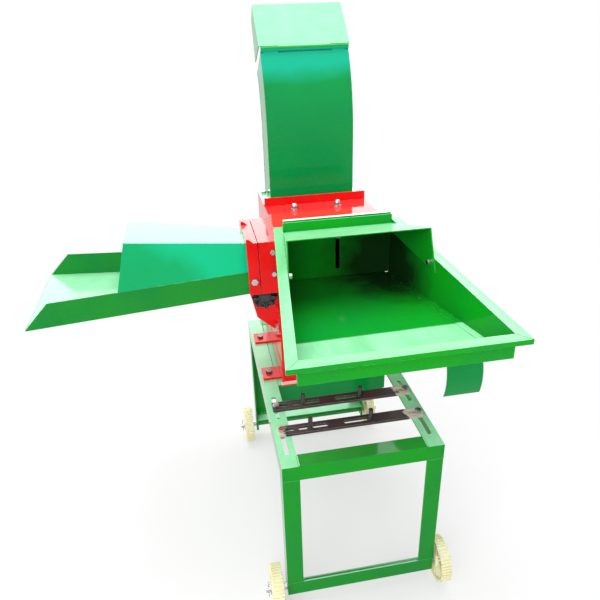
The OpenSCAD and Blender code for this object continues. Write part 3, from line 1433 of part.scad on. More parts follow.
side_rails();
cross_beams();
legs();
foot_beams();
axle_brackets();
axles();
wheel_front_left();
wheel_front_right();
wheel_rear_left();
wheel_rear_right();
split_pins();
front_motor_bar();
rear_motor_bar();
front_bar_bolts();
rear_bar_bolts();
housing_feet();
left_side_plate();
right_side_plate();
front_plate();
back_plate();
top_plate();
cross_bars();
sieve_screen();
lid();
lid_bolts();
hinge_pins();
hex_bolts();
main_shaft();
cutter_disc();
knives();
knife_bolts();
end_disc();
thrower_paddles();
drive_pulley();
pulley_key();
worm();
bearing_housings();
bearings();
ledger_knife();
inlet_collar();
gear_cover();
roller_cheeks();
throat_floor();
lower_feed_roller();
worm_wheel();
lower_roller_gear();
upper_feed_roller();
upper_roller_gear();
sliding_blocks();
pressure_springs();
feed_trough();
trough_cover();
feed_tray();
tray_hood();
feed_gate();
discharge_spout();
spout_flap();
belt_guard();
guard_stays();
outlet_chute();
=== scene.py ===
import json
import math

import bmesh
import bpy
from mathutils import Matrix, Vector


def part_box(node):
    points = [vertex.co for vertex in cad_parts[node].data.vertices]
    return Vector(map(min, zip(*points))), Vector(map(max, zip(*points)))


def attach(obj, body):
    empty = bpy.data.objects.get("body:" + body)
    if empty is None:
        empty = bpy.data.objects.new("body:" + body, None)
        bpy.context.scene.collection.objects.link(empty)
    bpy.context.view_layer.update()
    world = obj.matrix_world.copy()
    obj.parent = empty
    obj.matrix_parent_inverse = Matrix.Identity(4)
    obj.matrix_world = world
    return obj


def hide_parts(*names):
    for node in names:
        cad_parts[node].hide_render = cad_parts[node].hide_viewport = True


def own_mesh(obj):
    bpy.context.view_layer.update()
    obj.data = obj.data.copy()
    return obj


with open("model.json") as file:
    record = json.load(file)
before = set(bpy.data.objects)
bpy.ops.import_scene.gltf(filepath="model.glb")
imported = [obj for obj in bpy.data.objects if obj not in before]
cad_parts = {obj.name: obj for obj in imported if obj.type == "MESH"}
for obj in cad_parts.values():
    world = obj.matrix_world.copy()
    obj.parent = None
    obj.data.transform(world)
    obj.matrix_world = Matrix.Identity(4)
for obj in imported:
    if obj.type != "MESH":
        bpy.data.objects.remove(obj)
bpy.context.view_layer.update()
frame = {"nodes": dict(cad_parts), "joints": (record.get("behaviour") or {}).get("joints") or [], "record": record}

# The stand
# Two rails, four legs, two cross beams and two foot beams of 36 mm angle iron, cut square and
# welded, then painted as one piece with a thick gloss green enamel.


class Wire:
    """A shader socket that can be added, taken away and scaled like a number."""

    def __init__(self, tree, socket=None):
        self.tree = tree
        self.socket = socket

    def add(self, kind, settings=None, inputs=None, out=0):
        """Puts in a node with these settings and inputs, and gives the wire that leaves it."""
        node = self.tree.nodes.new("ShaderNode" + kind)
        for name, value in (settings or {}).items():
            setattr(node, name, value)
        for name, value in (inputs or {}).items():
            self.plug(node.inputs[name], value)
        return Wire(self.tree, node.outputs[out])

    def plug(self, socket, value):
        """Leads a wire into a socket, or sets the socket's own value."""
        if isinstance(value, Wire):
            self.tree.links.new(value.socket, socket)
        elif socket.type == "RGBA" and len(value) == 3:
            socket.default_value = (*value, 1)
        else:
            socket.default_value = value

    def maths(self, operation, first, second):
        """A Math node on two values."""
        return self.add("Math", {"operation": operation}, {0: first, 1: second})

    def __add__(self, other):
        return self.maths("ADD", self, other)

    def __sub__(self, other):
        return self.maths("SUBTRACT", self, other)

    def __rsub__(self, other):
        return self.maths("SUBTRACT", other, self)

    def __mul__(self, other):
        return self.maths("MULTIPLY", self, other)

    __radd__ = __add__
    __rmul__ = __mul__

    def along(self, axis):
        """How far this vector goes along X, Y or Z."""
        return self.add("SeparateXYZ", {}, {"Vector": self}, out=axis)

    def dot(self, other):
        """How far this vector and another point the same way."""
        return self.add("VectorMath", {"operation": "DOT_PRODUCT"}, {0: self, 1: other}, out="Value")

    def length(self):
        """How long this vector is."""
        return self.add("VectorMath", {"operation": "LENGTH"}, {0: self}, out="Value")

    def within(self, low, high):
        """This value spread over 0 to 1 between low and high, and held there outside them."""
        return self.add("MapRange", {}, {"Value": self, "From Min": low, "From Max": high})

    def blend(self, first, second):
        """The first colour where this value is 0, the second where it is 1."""
        return self.add("Mix", {"data_type": "RGBA"}, {0: self, 6: first, 7: second}, out=2)

    def noise(self, scale, detail=2.0, stretch=None):
        """Cloudy noise at this place, drawn out along an axis where a stretch is given."""
        spot = self
        if stretch:
            spot = self.add("Mapping", {}, {"Vector": self, "Scale": stretch})
        return self.add("TexNoise", {}, {"Vector": spot, "Scale": scale, "Detail": detail})

    def edges(self, reach):
        """1 on an outside or inside edge, falling to 0 within this reach of it."""
        rounded = self.add("Bevel", {"samples": 4}, {"Radius": reach})
        flat = self.add("NewGeometry", out="Normal")
        return 1 - rounded.dot(flat).within(0.86, 0.995)

    def bump(self, strength, distance):
        """The surface's normal, tilted by the rise and fall of this value."""
        return self.add("Bump", {}, {"Strength": strength, "Distance": distance, "Height": self})


def new_finish(name, **fixed):
    """A new material, the wire that starts from its object coordinates, and its shader's inputs."""
    finish = bpy.data.materials.new(name)
    finish.use_nodes = True
    tree = finish.node_tree
    shader = tree.nodes["Principled BSDF"]
    for socket, value in fixed.items():
        shader.inputs[socket.replace("_", " ")].default_value = value
    place = Wire(tree).add("TexCoord", out="Object")
    return finish, place, shader.inputs


enamel_gloss = 0.14
thin_edge = 0.0016
highlight_edge = 0.004
nib_scale = 75.0
peel_scale = 210
peel_deep = 0.0006


def enamel(name, colour, deep, pale, highlight_tone, dust_and_highlight, above=-1.0, marks=()):
    """Gloss stoving enamel: thin on the edges, deeper where it ran, with orange peel and dust nibs.

    Upward faces above a height are paler by the given share, a painted highlight of the bright sky they face. Each
    mark is a mask and its colour."""
    finish, place, into = new_finish(name, Specular_IOR_Level=enamel_gloss)
    pool = place.noise(4.5, 3).within(0.35, 0.68)
    tone = pool.blend(colour, deep)
    grain = place.noise(900, 1).within(0.55, 0.8)
    tone = (grain * 0.12).blend(tone, pale)
    worn = place.edges(thin_edge) * place.noise(60, 4).within(0.42, 0.6)
    tone = (worn * 0.45).blend(tone, pale)
    upward = place.add("TexCoord", out="Normal").along("Z")
    # Painted highlight: upward faces blend towards a pale tone that stands in for the sky they reflect.
    top_highlight = upward.within(0.62, 0.95) * place.along("Z").within(above, above + highlight_edge)
    top_highlight = top_highlight * (0.8 + place.noise(30, 4) * 0.4)
    tone = (top_highlight * dust_and_highlight).blend(tone, highlight_tone)
    for mask, mark in marks:
        tone = mask(place, upward).blend(tone, mark)
    film = place.noise(9, 4, (1, 1, 0.35)).within(0.4, 0.75)
    cells = place.add("TexVoronoi", {}, {"Vector": place, "Scale": nib_scale}, out="Distance")
    nibs = cells.within(0.09, 0.03)
    peel = place.noise(peel_scale, 1) * 0.5 + nibs * 0.35
    place.plug(into["Base Color"], tone)
    place.plug(into["Roughness"], 0.06 + film * 0.05 + worn * 0.25 + top_highlight * (0.2 * dust_and_highlight))
    place.plug(into["Normal"], peel.bump(0.05, peel_deep))
    return finish


def as_mesh(name, shape):
    """A worked shape as a mesh of this name."""
    mesh = bpy.data.meshes.new(name)
    shape.to_mesh(mesh)
    shape.free()
    return mesh


def smoothed(mesh, crease):
    """The mesh shaded smooth, apart from the edges that turn by more than this angle."""
    mesh.shade_smooth()
    mesh.set_sharp_from_angle(angle=math.radians(crease))
    return mesh


def shown(name, mesh, finish=None):
    """A new piece in the scene. Its finish is given here if the mesh has none yet."""
    if finish:
        mesh.materials.append(finish)
    piece = bpy.data.objects.new(name, mesh)
    bpy.context.scene.collection.objects.link(piece)
    return piece


def rolled(piece, width, crease):
    """Rounds the edges that turn by more than this angle."""
    roll = piece.modifiers.new("rolled edges", "BEVEL")
    roll.width = width
    roll.segments = 2
    roll.limit_method = "ANGLE"
    roll.angle_limit = math.radians(crease)


def settled(piece):
    """The piece with its modifiers worked into a plain mesh."""
    shapes = bpy.context.evaluated_depsgraph_get()
    mesh = bpy.data.meshes.new_from_object(piece.evaluated_get(shapes))
    piece.modifiers.clear()
    piece.data = mesh
    return piece


merge_gap = 2e-6


def solid_of(node):
    """A copy of the node's own solid, with its loose triangles joined."""
    solid = bmesh.new()
    solid.from_mesh(frame["nodes"][node].data)
    bmesh.ops.remove_doubles(solid, verts=solid.verts, dist=merge_gap)
    return solid


body_of = {node: body for body, nodes in frame["record"]["behaviour"]["bodies"].items() for node in nodes}
same_face = math.radians(0.4)
sheet_crease = 32


def dressed(node, edge, finish):
    """The node's own solid with rolled edges of this width, in the finish it is painted with."""
    solid = solid_of(node)
    bmesh.ops.dissolve_limit(solid, angle_limit=same_face, verts=solid.verts, edges=solid.edges)
    name = node + "_skin"
    piece = shown(name, smoothed(as_mesh(name, solid), sheet_crease), finish)
    rolled(piece, edge, sheet_crease)
    flat = piece.modifiers.new("flat faces", "WEIGHTED_NORMAL")
    flat.weight = 100
    flat.keep_sharp = True
    settled(piece)
    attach(piece, body_of[node])
    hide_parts(node)


leaf_green = (0.003, 0.275, 0.007)
leaf_deep = (0.003, 0.215, 0.022)
leaf_pale = (0.10, 0.48, 0.17)
# A pale mint for the painted highlight on upward green faces.
leaf_highlight = (0.42, 0.93, 0.58)
angle_edge = 0.0009
# The stand's upward faces carry a strong painted highlight, and the cross beams almost none.
stand_paint = enamel("stand_green_enamel", leaf_green, leaf_deep, leaf_pale, leaf_highlight, dust_and_highlight=0.72)
for node in ("side_rails", "legs", "foot_beams", "axle_brackets"):
    dressed(node, angle_edge, stand_paint)
beam_paint = enamel("beam_green_enamel", leaf_green, leaf_deep, leaf_pale, leaf_highlight, dust_and_highlight=0.05)
dressed("cross_beams", angle_edge, beam_paint)

# The weld beads of the stand
# Short electric weld runs close the corners of the frame. Each is a row of overlapping ripples
# laid by hand, and the enamel goes over them.


def ribbon(*runs):
    """Bare lines of edges, one through each run of points, for a node tree to work along."""
    points = []
    links = []
    for run in runs:
        first = len(points)
        points += [Vector(p) for p in run]
        links += [(i, i + 1) for i in range(first, len(points) - 1)]
    mesh = bpy.data.meshes.new("lines")
    mesh.from_pydata(points, links, [])
    return mesh


class Shaper:
    """A geometry node tree with named sizes, built one node at a time."""

    def __init__(self, name, **sizes):
        self.tree = bpy.data.node_groups.new(name, "GeometryNodeTree")
        faces = self.tree.interface
        faces.new_socket("Geometry", in_out="INPUT", socket_type="NodeSocketGeometry")
        for size, value in sizes.items():
            kind = "NodeSocketInt" if isinstance(value, int) else "NodeSocketFloat"
            faces.new_socket(size, in_out="INPUT", socket_type=kind).default_value = value
        faces.new_socket("Finish", in_out="INPUT", socket_type="NodeSocketMaterial")
        faces.new_socket("Geometry", in_out="OUTPUT", socket_type="NodeSocketGeometry")
        self.given = self.tree.nodes.new("NodeGroupInput").outputs

    def add(self, kind, settings=None, inputs=None, out=0):
        """Puts in a node with these settings and inputs, and gives the socket that leaves it."""
        node = self.tree.nodes.new(kind)
        for name, value in (settings or {}).items():
            setattr(node, name, value)
        for name, value in (inputs or {}).items():
            for link in value if isinstance(value, list) else [value]:
                if isinstance(link, bpy.types.NodeSocket):
                    self.tree.links.new(link, node.inputs[name])
                else:
                    node.inputs[name].default_value = link
        return node.outputs[out]

    def done(self, shape):
        """Closes the tree: instances made real, and the finish set on all of it."""
        real = self.add("GeometryNodeRealizeInstances", {}, {"Geometry": shape})
        coated = self.add("GeometryNodeSetMaterial", {},
                          {"Geometry": real, "Material": self.given["Finish"]})
        end = self.tree.nodes.new("NodeGroupOutput")
        self.tree.links.new(coated, end.inputs["Geometry"])
        return self.tree


def socket_of(tree, name):
    """A node group input's identifier, by which a modifier's value is set."""
    return next(i.identifier for i in tree.interface.items_tree if i.name == name and i.in_out == "INPUT")


def shaped(name, mesh, tree, finish, **sizes):
    """A piece made by a node tree from a mesh of points or lines, as a plain mesh."""
    piece = shown(name, mesh)
    work = piece.modifiers.new("shape", "NODES")
    work.node_group = tree
    work[socket_of(tree, "Finish")] = finish
    for size, value in sizes.items():
        work[socket_of(tree, size)] = value
    return settled(piece)


def fixed_on(body, slot, *pieces):
    """Says which body these new pieces move with. The slot is not used."""
    for piece in pieces:
        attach(piece, body)


def weld_tree():
    """Round ripples of uneven size, each overlapping the next, along every line."""
    tree = Shaper("weld_run", pitch=0.0022, size=0.0028)
    run = tree.add("GeometryNodeMeshToCurve", {}, {"Mesh": tree.given["Geometry"]})
    steps = tree.add("GeometryNodeResampleCurve", {"mode": "LENGTH"},
                     {"Curve": run, "Length": tree.given["pitch"]})
    along = tree.add("GeometryNodeInputTangent")
    turn = tree.add("FunctionNodeAlignRotationToVector", {"axis": "X"}, {"Vector": along})
    ripple = tree.add("GeometryNodeMeshIcoSphere", {}, {"Radius": tree.given["size"], "Subdivisions": 2})
    ripple_sizes = {2: 0.82, 3: 1.12, "Seed": 7}
    uneven = tree.add("FunctionNodeRandomValue", {"data_type": "FLOAT"}, ripple_sizes, out=1)
    beads = tree.add("GeometryNodeInstanceOnPoints", {},
                     {"Points": steps, "Instance": ripple, "Rotation": turn, "Scale": uneven})
    soft = tree.add("GeometryNodeSetShadeSmooth", {}, {"Geometry": beads})
    return tree.done(soft)


weld_run = weld_tree()
angle_w = 0.036
angle_t = 0.004
bead_sunk = 0.001
bead_in = 0.003
clear_of_bar = 0.007
legs_low, legs_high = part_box("legs")
rails_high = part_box("side_rails")[1]
top_z = legs_high.z + bead_sunk
foot_z = legs_low.z + bead_sunk
rail_z = rails_high.z - bead_sunk
stand_runs = []
for x, inward in ((legs_low.x, 1), (legs_high.x, -1)):
    for y, back in ((legs_low.y, 1), (legs_high.y, -1)):
        inside_x = x + inward * angle_t
        inside_y = y + back * angle_t
        flange_x = x + inward * angle_w
        flange_y = y + back * angle_w
        stand_runs.append([(inside_x, inside_y, top_z), (inside_x, flange_y, top_z)])
        stand_runs.append([(inside_x, inside_y, foot_z), (flange_x, inside_y, foot_z)])
        stand_runs.append([(flange_x, y + back * bead_in, rail_z),
                           (flange_x, flange_y - back * clear_of_bar, rail_z)])
stand_welds = shaped("stand_welds", ribbon(*stand_runs), weld_run, stand_paint)
fixed_on("base", "green_enamel", stand_welds)

# The wheels
# Four small moulded wheels of cream plastic, with cross bars for a tread, a ribbed web and a deep
# hub. They turn on two steel axles and are kept on by split pins.


def moulding(name, colour, shade, dust_and_highlight):
    """Injection-moulded plastic, a little cloudy, with road dust rubbed into its hollows."""
    finish, place, into = new_finish(name, Specular_IOR_Level=0.4)
    cloud = place.noise(18, 3).within(0.35, 0.7)
    tone = cloud.blend(colour, shade)
    grime = place.edges(0.004) * place.noise(120, 5).within(0.35, 0.75)
    tone = (grime * 0.5).blend(tone, dust_and_highlight)
    place.plug(into["Base Color"], tone)
    place.plug(into["Roughness"], 0.42 + grime * 0.25)
    place.plug(into["Normal"], place.noise(520, 2).bump(0.18, 0.0004))
    return finish


cream = (0.84, 0.82, 0.57)
cream_shade = (0.78, 0.73, 0.44)
wheel_dust = (0.50, 0.42, 0.25)
wheel_plastic = moulding("cream_plastic", cream, cream_shade, wheel_dust)
turned_crease = 30


def turned(profile, steps):
    """A closed outline of (radius, along X) turned round the X axis."""
    ring = bmesh.new()
    rows = []
    for step in range(steps):
        a = 2 * math.pi * step / steps
        rows.append([ring.verts.new((x, r * math.sin(a), r * math.cos(a))) for r, x in profile])
    for step in range(steps):
        here, there = rows[step], rows[(step + 1) % steps]
        for i in range(len(profile)):
            j = (i + 1) % len(profile)
            ring.faces.new((here[i], here[j], there[j], there[i]))
    bmesh.ops.recalc_face_normals(ring, faces=ring.faces)
    return smoothed(as_mesh("turned", ring), turned_crease)


def wheel_tree():
    """A turned wheel with bars set round its rim for a tread, and ribs across its web."""
    tree = Shaper("ribbed_wheel", bars=44, bar_long=0.0235, bar_wide=0.0032, bar_deep=0.0042, tread=0.0499,
                  ribs=16, rib_long=0.030, rib_wide=0.0026, rib_deep=0.018, rib_middle=0.031)

    def spokes(count, long, wide, deep, middle):
        ring = tree.add("GeometryNodeMeshCircle", {}, {"Vertices": count, "Radius": middle})
        spot = tree.add("GeometryNodeInputPosition")
        outward = tree.add("FunctionNodeAlignRotationToVector", {"axis": "X"}, {"Vector": spot})
        size = tree.add("ShaderNodeCombineXYZ", {}, {"X": deep, "Y": wide, "Z": long})
        bar = tree.add("GeometryNodeMeshCube", {}, {"Size": size})
        row = tree.add("GeometryNodeInstanceOnPoints", {},
                       {"Points": ring, "Instance": bar, "Rotation": outward})
        return tree.add("GeometryNodeTransform", {}, {"Geometry": row, "Rotation": (0, math.pi / 2, 0)})

    given = tree.given
    tread = spokes(given["bars"], given["bar_long"], given["bar_wide"], given["bar_deep"], given["tread"])
    web = spokes(given["ribs"], given["rib_deep"], given["rib_wide"], given["rib_long"],
                 given["rib_middle"])
    whole = tree.add("GeometryNodeJoinGeometry", {}, {"Geometry": [given["Geometry"], tread, web]})
    return tree.done(whole)


ribbed_wheel = wheel_tree()
wheel_half = 0.014
wheel_bore = 0.00805
core_r = 0.049
hub_r = 0.017
rim_t = 0.0050
rim_in = core_r - rim_t
rim_lip = 0.003
shoulder_r = 0.0015
shoulder_x = 0.0035
web_half = 0.0035
draft = 0.001
soft = 0.002
wheel_side = [
    (wheel_bore, wheel_half), (hub_r - soft, wheel_half), (hub_r, wheel_half - soft),
    (hub_r + draft, web_half), (rim_in, web_half), (rim_in + draft, wheel_half - rim_lip),
    (rim_in + soft, wheel_half - soft), (core_r - shoulder_r, wheel_half - soft),
    (core_r, wheel_half - shoulder_x),
]
wheel_outline = [(r, -x) for r, x in wheel_side] + wheel_side[::-1]
wheel_steps = 96
moulded_edge = 0.0005
moulded_crease = 40
for end in ("front", "rear"):
    for side in ("left", "right"):
        node = f"wheel_{end}_{side}"
        low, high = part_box(node)
        wheel = shaped(node + "_ribbed", turned(wheel_outline, wheel_steps), ribbed_wheel, wheel_plastic)
        rolled(wheel, moulded_edge, moulded_crease)
        settled(wheel)
        wheel.data.transform(Matrix.Translation((low + high) / 2))
        fixed_on(f"{end}_{side}_wheel", "cream_plastic", wheel)
        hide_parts(node)

# Axles, pins and other zinc-plated steel
# Drawn round bar and bought fasteners, zinc plated to a cool silver with a faint yellow and blue
# bloom. Heads keep fine turning marks, and a little grey dulls the plating.


def zinc(name, coated=None, coat=None):
    """Zinc plate; a mask may name what has another coat in place of it."""
    finish, place, into = new_finish(name)
    film = place.noise(140, 3).within(0.35, 0.7)
    tone = film.blend(zinc_silver, zinc_bloom)
    spots = place.noise(420, 5).within(0.55, 0.8)
    tone = (spots * 0.6).blend(tone, zinc_dull)
    shine = 1 - spots * 0.25
    if coated:
        covered = coated(place)
        tone = covered.blend(tone, coat)
        shine = shine * (1 - covered)
    place.plug(into["Base Color"], tone)
    place.plug(into["Metallic"], shine)
    place.plug(into["Roughness"], 0.24 + spots * 0.3)
    place.plug(into["Normal"], place.noise(1400, 2, (1, 1, 0.2)).bump(0.12, 0.0003))
    return finish


def under_the_stand(place):
    """The stand's paint also covers the axles between the wheels."""
    across = place.along("X")
    from_left = across.within(legs_low.x - paint_edge, legs_low.x)
    return from_left * across.within(legs_high.x + paint_edge, legs_high.x)


zinc_silver = (0.56, 0.57, 0.58)
zinc_bloom = (0.46, 0.46, 0.43)
zinc_dull = (0.20, 0.20, 0.20)
paint_edge = 0.001
turned_edge = 0.0005
zinc_plate = zinc("zinc_plate")
axle_finish = zinc("axle_zinc", under_the_stand, leaf_deep)
dressed("axles", turned_edge, axle_finish)
dressed("split_pins", turned_edge, zinc_plate)


def wire_tree():
    """Round wire along every line, closed at its ends."""
    tree = Shaper("round_wire", radius=0.0014)
    path = tree.add("GeometryNodeMeshToCurve", {}, {"Mesh": tree.given["Geometry"]})
    ring = tree.add("GeometryNodeCurvePrimitiveCircle", {},
                    {"Resolution": 12, "Radius": tree.given["radius"]})
    tube = tree.add("GeometryNodeCurveToMesh", {},
                    {"Curve": path, "Profile Curve": ring, "Fill Caps": True})
    return tree.done(tree.add("GeometryNodeSetShadeSmooth", {}, {"Geometry": tube}))


round_wire = wire_tree()
pin_wire_r = 0.0011
pin_eye_r = 0.0036
pin_eye_up = 0.6
pin_eye_steps = 24
pin_leg = ((0.0008, 0.0015), (0.0030, -0.0012), (0.0075, -0.0020))


def pin_wires(at, bottom, top):
    """The eye at the head of a split pin, and the two legs opened out below the axle."""
    turns = [2 * math.pi * i / pin_eye_steps for i in range(pin_eye_steps + 1)]
    eye = [(at.x, at.y + pin_eye_r * math.cos(a), top + pin_eye_r * (math.sin(a) + pin_eye_up))
           for a in turns]
    legs = [[(at.x, at.y + side * out, bottom + up) for out, up in pin_leg] for side in (-1, 1)]
    return [eye, *legs]


def joined(name, meshes):
    """One mesh out of several."""
    whole = bmesh.new()
    for mesh in meshes:
        whole.from_mesh(mesh)
    return as_mesh(name, whole)


washer_r = 0.0135
washer_t = 0.0016
washer_gap = 0.0004
washer_steps = 48
axle_fit_r = 0.0081
chamfer = 0.0003
washer_outline = [
    (axle_fit_r, 0), (washer_r - chamfer, 0), (washer_r, chamfer), (washer_r, washer_t - chamfer),
    (washer_r - chamfer, washer_t), (axle_fit_r, washer_t),
]
pins_low, pins_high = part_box("split_pins")
pin_half = 0.002
pin_runs = []
washers = []
for end in ("front", "rear"):
    for side in ("left", "right"):
        low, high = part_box(f"wheel_{end}_{side}")
        middle = (low + high) / 2
        if side == "right":
            pin_x = pins_high.x - pin_half
            washer_x = high.x + washer_gap
        else:
            pin_x = pins_low.x + pin_half
            washer_x = low.x - washer_gap - washer_t
        pin_runs += pin_wires(Vector((pin_x, middle.y, middle.z)), pins_low.z, pins_high.z)
        washer = turned(washer_outline, washer_steps)
        washer.transform(Matrix.Translation((washer_x, middle.y, middle.z)))
        washers.append(washer)
pin_ends = shaped("split_pin_ends", ribbon(*pin_runs), round_wire, zinc_plate, radius=pin_wire_r)
axle_washers = shown("axle_washers", joined("axle_washers", washers), zinc_plate)
fixed_on("base", "zinc_steel", pin_ends, axle_washers)

# The motor bars
# Two flats of hot-rolled steel lie across the rails, with long slots for a motor's feet. They keep
# their blue-brown mill scale, rubbed to pale bare steel where the clamp bolts bear.


def mill_scale(name, rubbed_from, rubbed_to=None):
    """Mill scale with ragged rubbed ends: past one place across, and before another if it is given."""
    finish, place, into = new_finish(name)
    cloud = place.noise(22, 5).within(0.38, 0.68)
    tone = cloud.blend(scale_grey, scale_rust)
    ragged = place.along("X") + place.noise(45, 4) * 0.05 - 0.025
    ends = ragged.within(rubbed_from, rubbed_from + rubbed_edge)
    if rubbed_to is not None:
        ends = ends + ragged.within(rubbed_to, rubbed_to - rubbed_edge)
    worn = place.edges(0.0014) * place.noise(160, 3).within(0.3, 0.6) * 0.7
    tone = ends.blend(tone, bare_steel)
    tone = worn.blend(tone, bare_steel)
    place.plug(into["Base Color"], tone)
    place.plug(into["Metallic"], 0.25 + worn * 0.6)
    place.plug(into["Roughness"], 0.52 - worn * 0.15 + place.noise(90, 3) * 0.15)
    place.plug(into["Normal"], place.noise(260, 5).bump(0.25, 0.0005))
    return finish


scale_grey = (0.032, 0.029, 0.034)
scale_rust = (0.058, 0.040, 0.040)
bare_steel = (0.62, 0.52, 0.44)
rubbed_edge = 0.004
bar_edge = 0.0006
bar_low, bar_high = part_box("front_motor_bar")
front_rub_right = 0.042
front_rub_left = 0.012
rear_rub_right = 0.036
front_scale = mill_scale("front_bar_scale", bar_high.x - front_rub_right, bar_low.x + front_rub_left)
rear_scale = mill_scale("rear_bar_scale", bar_high.x - rear_rub_right)
dressed("front_motor_bar", bar_edge, front_scale)
dressed("rear_motor_bar", bar_edge, rear_scale)


def between_rails(place):
    """The motor's studs, between the rails, are blacked, and the clamp bolts over the rails plated."""
    across = place.along("X")
    from_left = across.within(left_studs - coat_edge, left_studs)
    return from_left * across.within(right_studs + coat_edge, right_studs)


left_studs = 0.065
right_studs = 0.310
coat_edge = 0.001
bolt_edge = 0.0004
black_oxide = (0.045, 0.042, 0.042)
bar_fixings = zinc("bar_bolts_zinc", between_rails, black_oxide)
for node in ("front_bar_bolts", "rear_bar_bolts"):
    dressed(node, bolt_edge, bar_fixings)

# The housing
# A welded box of thick sheet that the rotor turns in: two side plates, a front plate with a bottom
# lip, back and top plates and two feet, all in bright red enamel.
signal_red = (0.72, 0.006, 0.006)
red_deep = (0.61, 0.004, 0.005)
red_pale = (0.88, 0.22, 0.19)
# Pale tones for the painted highlight on upward red faces.
red_highlight = (0.92, 0.50, 0.46)
lip_highlight = (0.95, 0.80, 0.76)
plate_edge = 0.0007
house_paint = enamel("housing_red_enamel", signal_red, red_deep, red_pale, red_highlight, dust_and_highlight=0.05)
for node in ("housing_feet", "left_side_plate", "right_side_plate", "back_plate", "top_plate",
             "cross_bars"):
    dressed(node, plate_edge, house_paint)
# The front plate's bottom lip carries a strong painted highlight, near white.
front_paint = enamel("front_plate_red_enamel", signal_red, red_deep, red_pale, lip_highlight, dust_and_highlight=0.85)
dressed("front_plate", plate_edge, front_paint)


def stitched(start, end):
    """Short weld runs with gaps between them, from start to end."""
    start = Vector(start)
    end = Vector(end)
    count = int((end - start).length / stitch_pitch)
    step = (end - start) / count
    return [[start + step * (i + 0.25), start + step * (i + 0.75)] for i in range(count)]


stitch_pitch = 0.060
in_from_end = 0.01
over_the_lip = 0.02
shell_low, shell_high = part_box("left_side_plate")
low_z, high_z = shell_low.z, shell_high.z
left_in = shell_high.x
right_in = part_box("right_side_plate")[0].x
back_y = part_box("back_plate")[1].y
top_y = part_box("top_plate")[0].y
front_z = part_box("front_plate")[1].z
house_runs = []
for x in (left_in, right_in):
    house_runs += stitched((x, back_y, low_z + in_from_end), (x, back_y, high_z - in_from_end))
    house_runs += stitched((x, top_y + in_from_end, high_z), (x, back_y - in_from_end, high_z))
    house_runs += stitched((x, shell_low.y, low_z + over_the_lip), (x, shell_low.y, front_z - in_from_end))
house_runs += stitched((left_in + in_from_end, back_y, high_z), (right_in - in_from_end, back_y, high_z))
house_welds = shaped("housing_stitch_welds", ribbon(*house_runs), weld_run, house_paint,
                     pitch=0.0019, size=0.0016)
fixed_on("base", "red_enamel", house_welds)

# The lid
# A folded sheet-steel lid closes the housing's top in front of the spout. It hinges at its front
# edge and is held down by two capped bolts.
dressed("lid", plate_edge, house_paint)
for node in ("lid_bolts", "hinge_pins"):
    dressed(node, turned_edge, zinc_plate)


def at_the_feet(place):
    """The long bolts of the housing's feet are blacked, and the others plated."""
    return place.along("Z").within(blacked_to + coat_edge, blacked_to)


blacked_to = 0.450
house_bolts = zinc("housing_bolts_zinc", at_the_feet, black_oxide)
dressed("hex_bolts", turned_edge, house_bolts)

# The rotor, its shaft and the sieve
# A ground shaft carries the knife disc, the end disc and the thrower paddles. They are plain cut
# and machined steel, oiled, over a punched sheet-steel sieve.


def machined(name, colour, oil, marks):
    """Cut and ground steel with fine tool marks and a thin film of dark oil."""
    finish, place, into = new_finish(name, Metallic=1.0)
    wet = place.noise(26, 4).within(0.42, 0.7)
    tone = (wet * 0.6).blend(colour, oil)
    lines = place.noise(700, 2, marks)
    place.plug(into["Base Color"], tone)
    place.plug(into["Roughness"], 0.34 - wet * 0.1 + lines * 0.12)
    place.plug(into["Normal"], lines.bump(0.2, 0.0003))
    return finish


def painted(finish, *nodes):
    """Gives these nodes' own solids a finish."""
    for node in nodes:
        slots = frame["nodes"][node].data.materials
        slots.clear()
        slots.append(finish)


cut_steel = machined("oiled_cut_steel", colour=(0.40, 0.39, 0.38), oil=(0.14, 0.12, 0.10),
                     marks=(1, 0.08, 0.08))
ground_steel = machined("ground_shaft_steel", colour=(0.58, 0.58, 0.58), oil=(0.3, 0.28, 0.25),
                        marks=(1, 0.05, 0.05))
painted(cut_steel, "cutter_disc", "knives", "knife_bolts", "end_disc", "thrower_paddles")
painted(cut_steel, "ledger_knife", "sieve_screen", "worm")
painted(ground_steel, "main_shaft", "pulley_key", "bearings")

# The throat: rollers, gears and blocks
# Ribbed steel rollers draw the straw in. Black cast star gears and a bronze worm wheel turn them,
# and a pair of springs press the upper roller's sliding blocks down.


def casting(name, colour, grease, glint):
    """Dark iron as cast, wet with grease, with pale glints painted on its edges."""
    finish, place, into = new_finish(name)
    wet = place.noise(45, 4).within(0.45, 0.65)
    tone = wet.blend(colour, grease)
    # Painted highlight: pale glints on the edges, where the iron is also more metallic.
    edge_glints = place.edges(0.0015) * place.noise(200, 3).within(0.35, 0.6)
    tone = (edge_glints * 0.8).blend(tone, glint)
    place.plug(into["Base Color"], tone)
    place.plug(into["Metallic"], 0.4 + edge_glints * 0.6)
    place.plug(into["Roughness"], 0.5 - wet * 0.28)
    place.plug(into["Normal"], place.noise(380, 4).bump(0.4, 0.0006))
    return finish


black_iron = casting("greased_black_iron", colour=(0.022, 0.022, 0.024), grease=(0.006, 0.006, 0.007),
                     glint=(0.5, 0.5, 0.52))
for node in ("lower_roller_gear", "upper_roller_gear", "sliding_blocks", "bearing_housings",
             "drive_pulley"):
    dressed(node, turned_edge, black_iron)
bronze = machined("worm_wheel_bronze", colour=(0.62, 0.42, 0.16), oil=(0.24, 0.15, 0.06),
                  marks=(0.1, 1, 0.1))
painted(bronze, "worm_wheel")
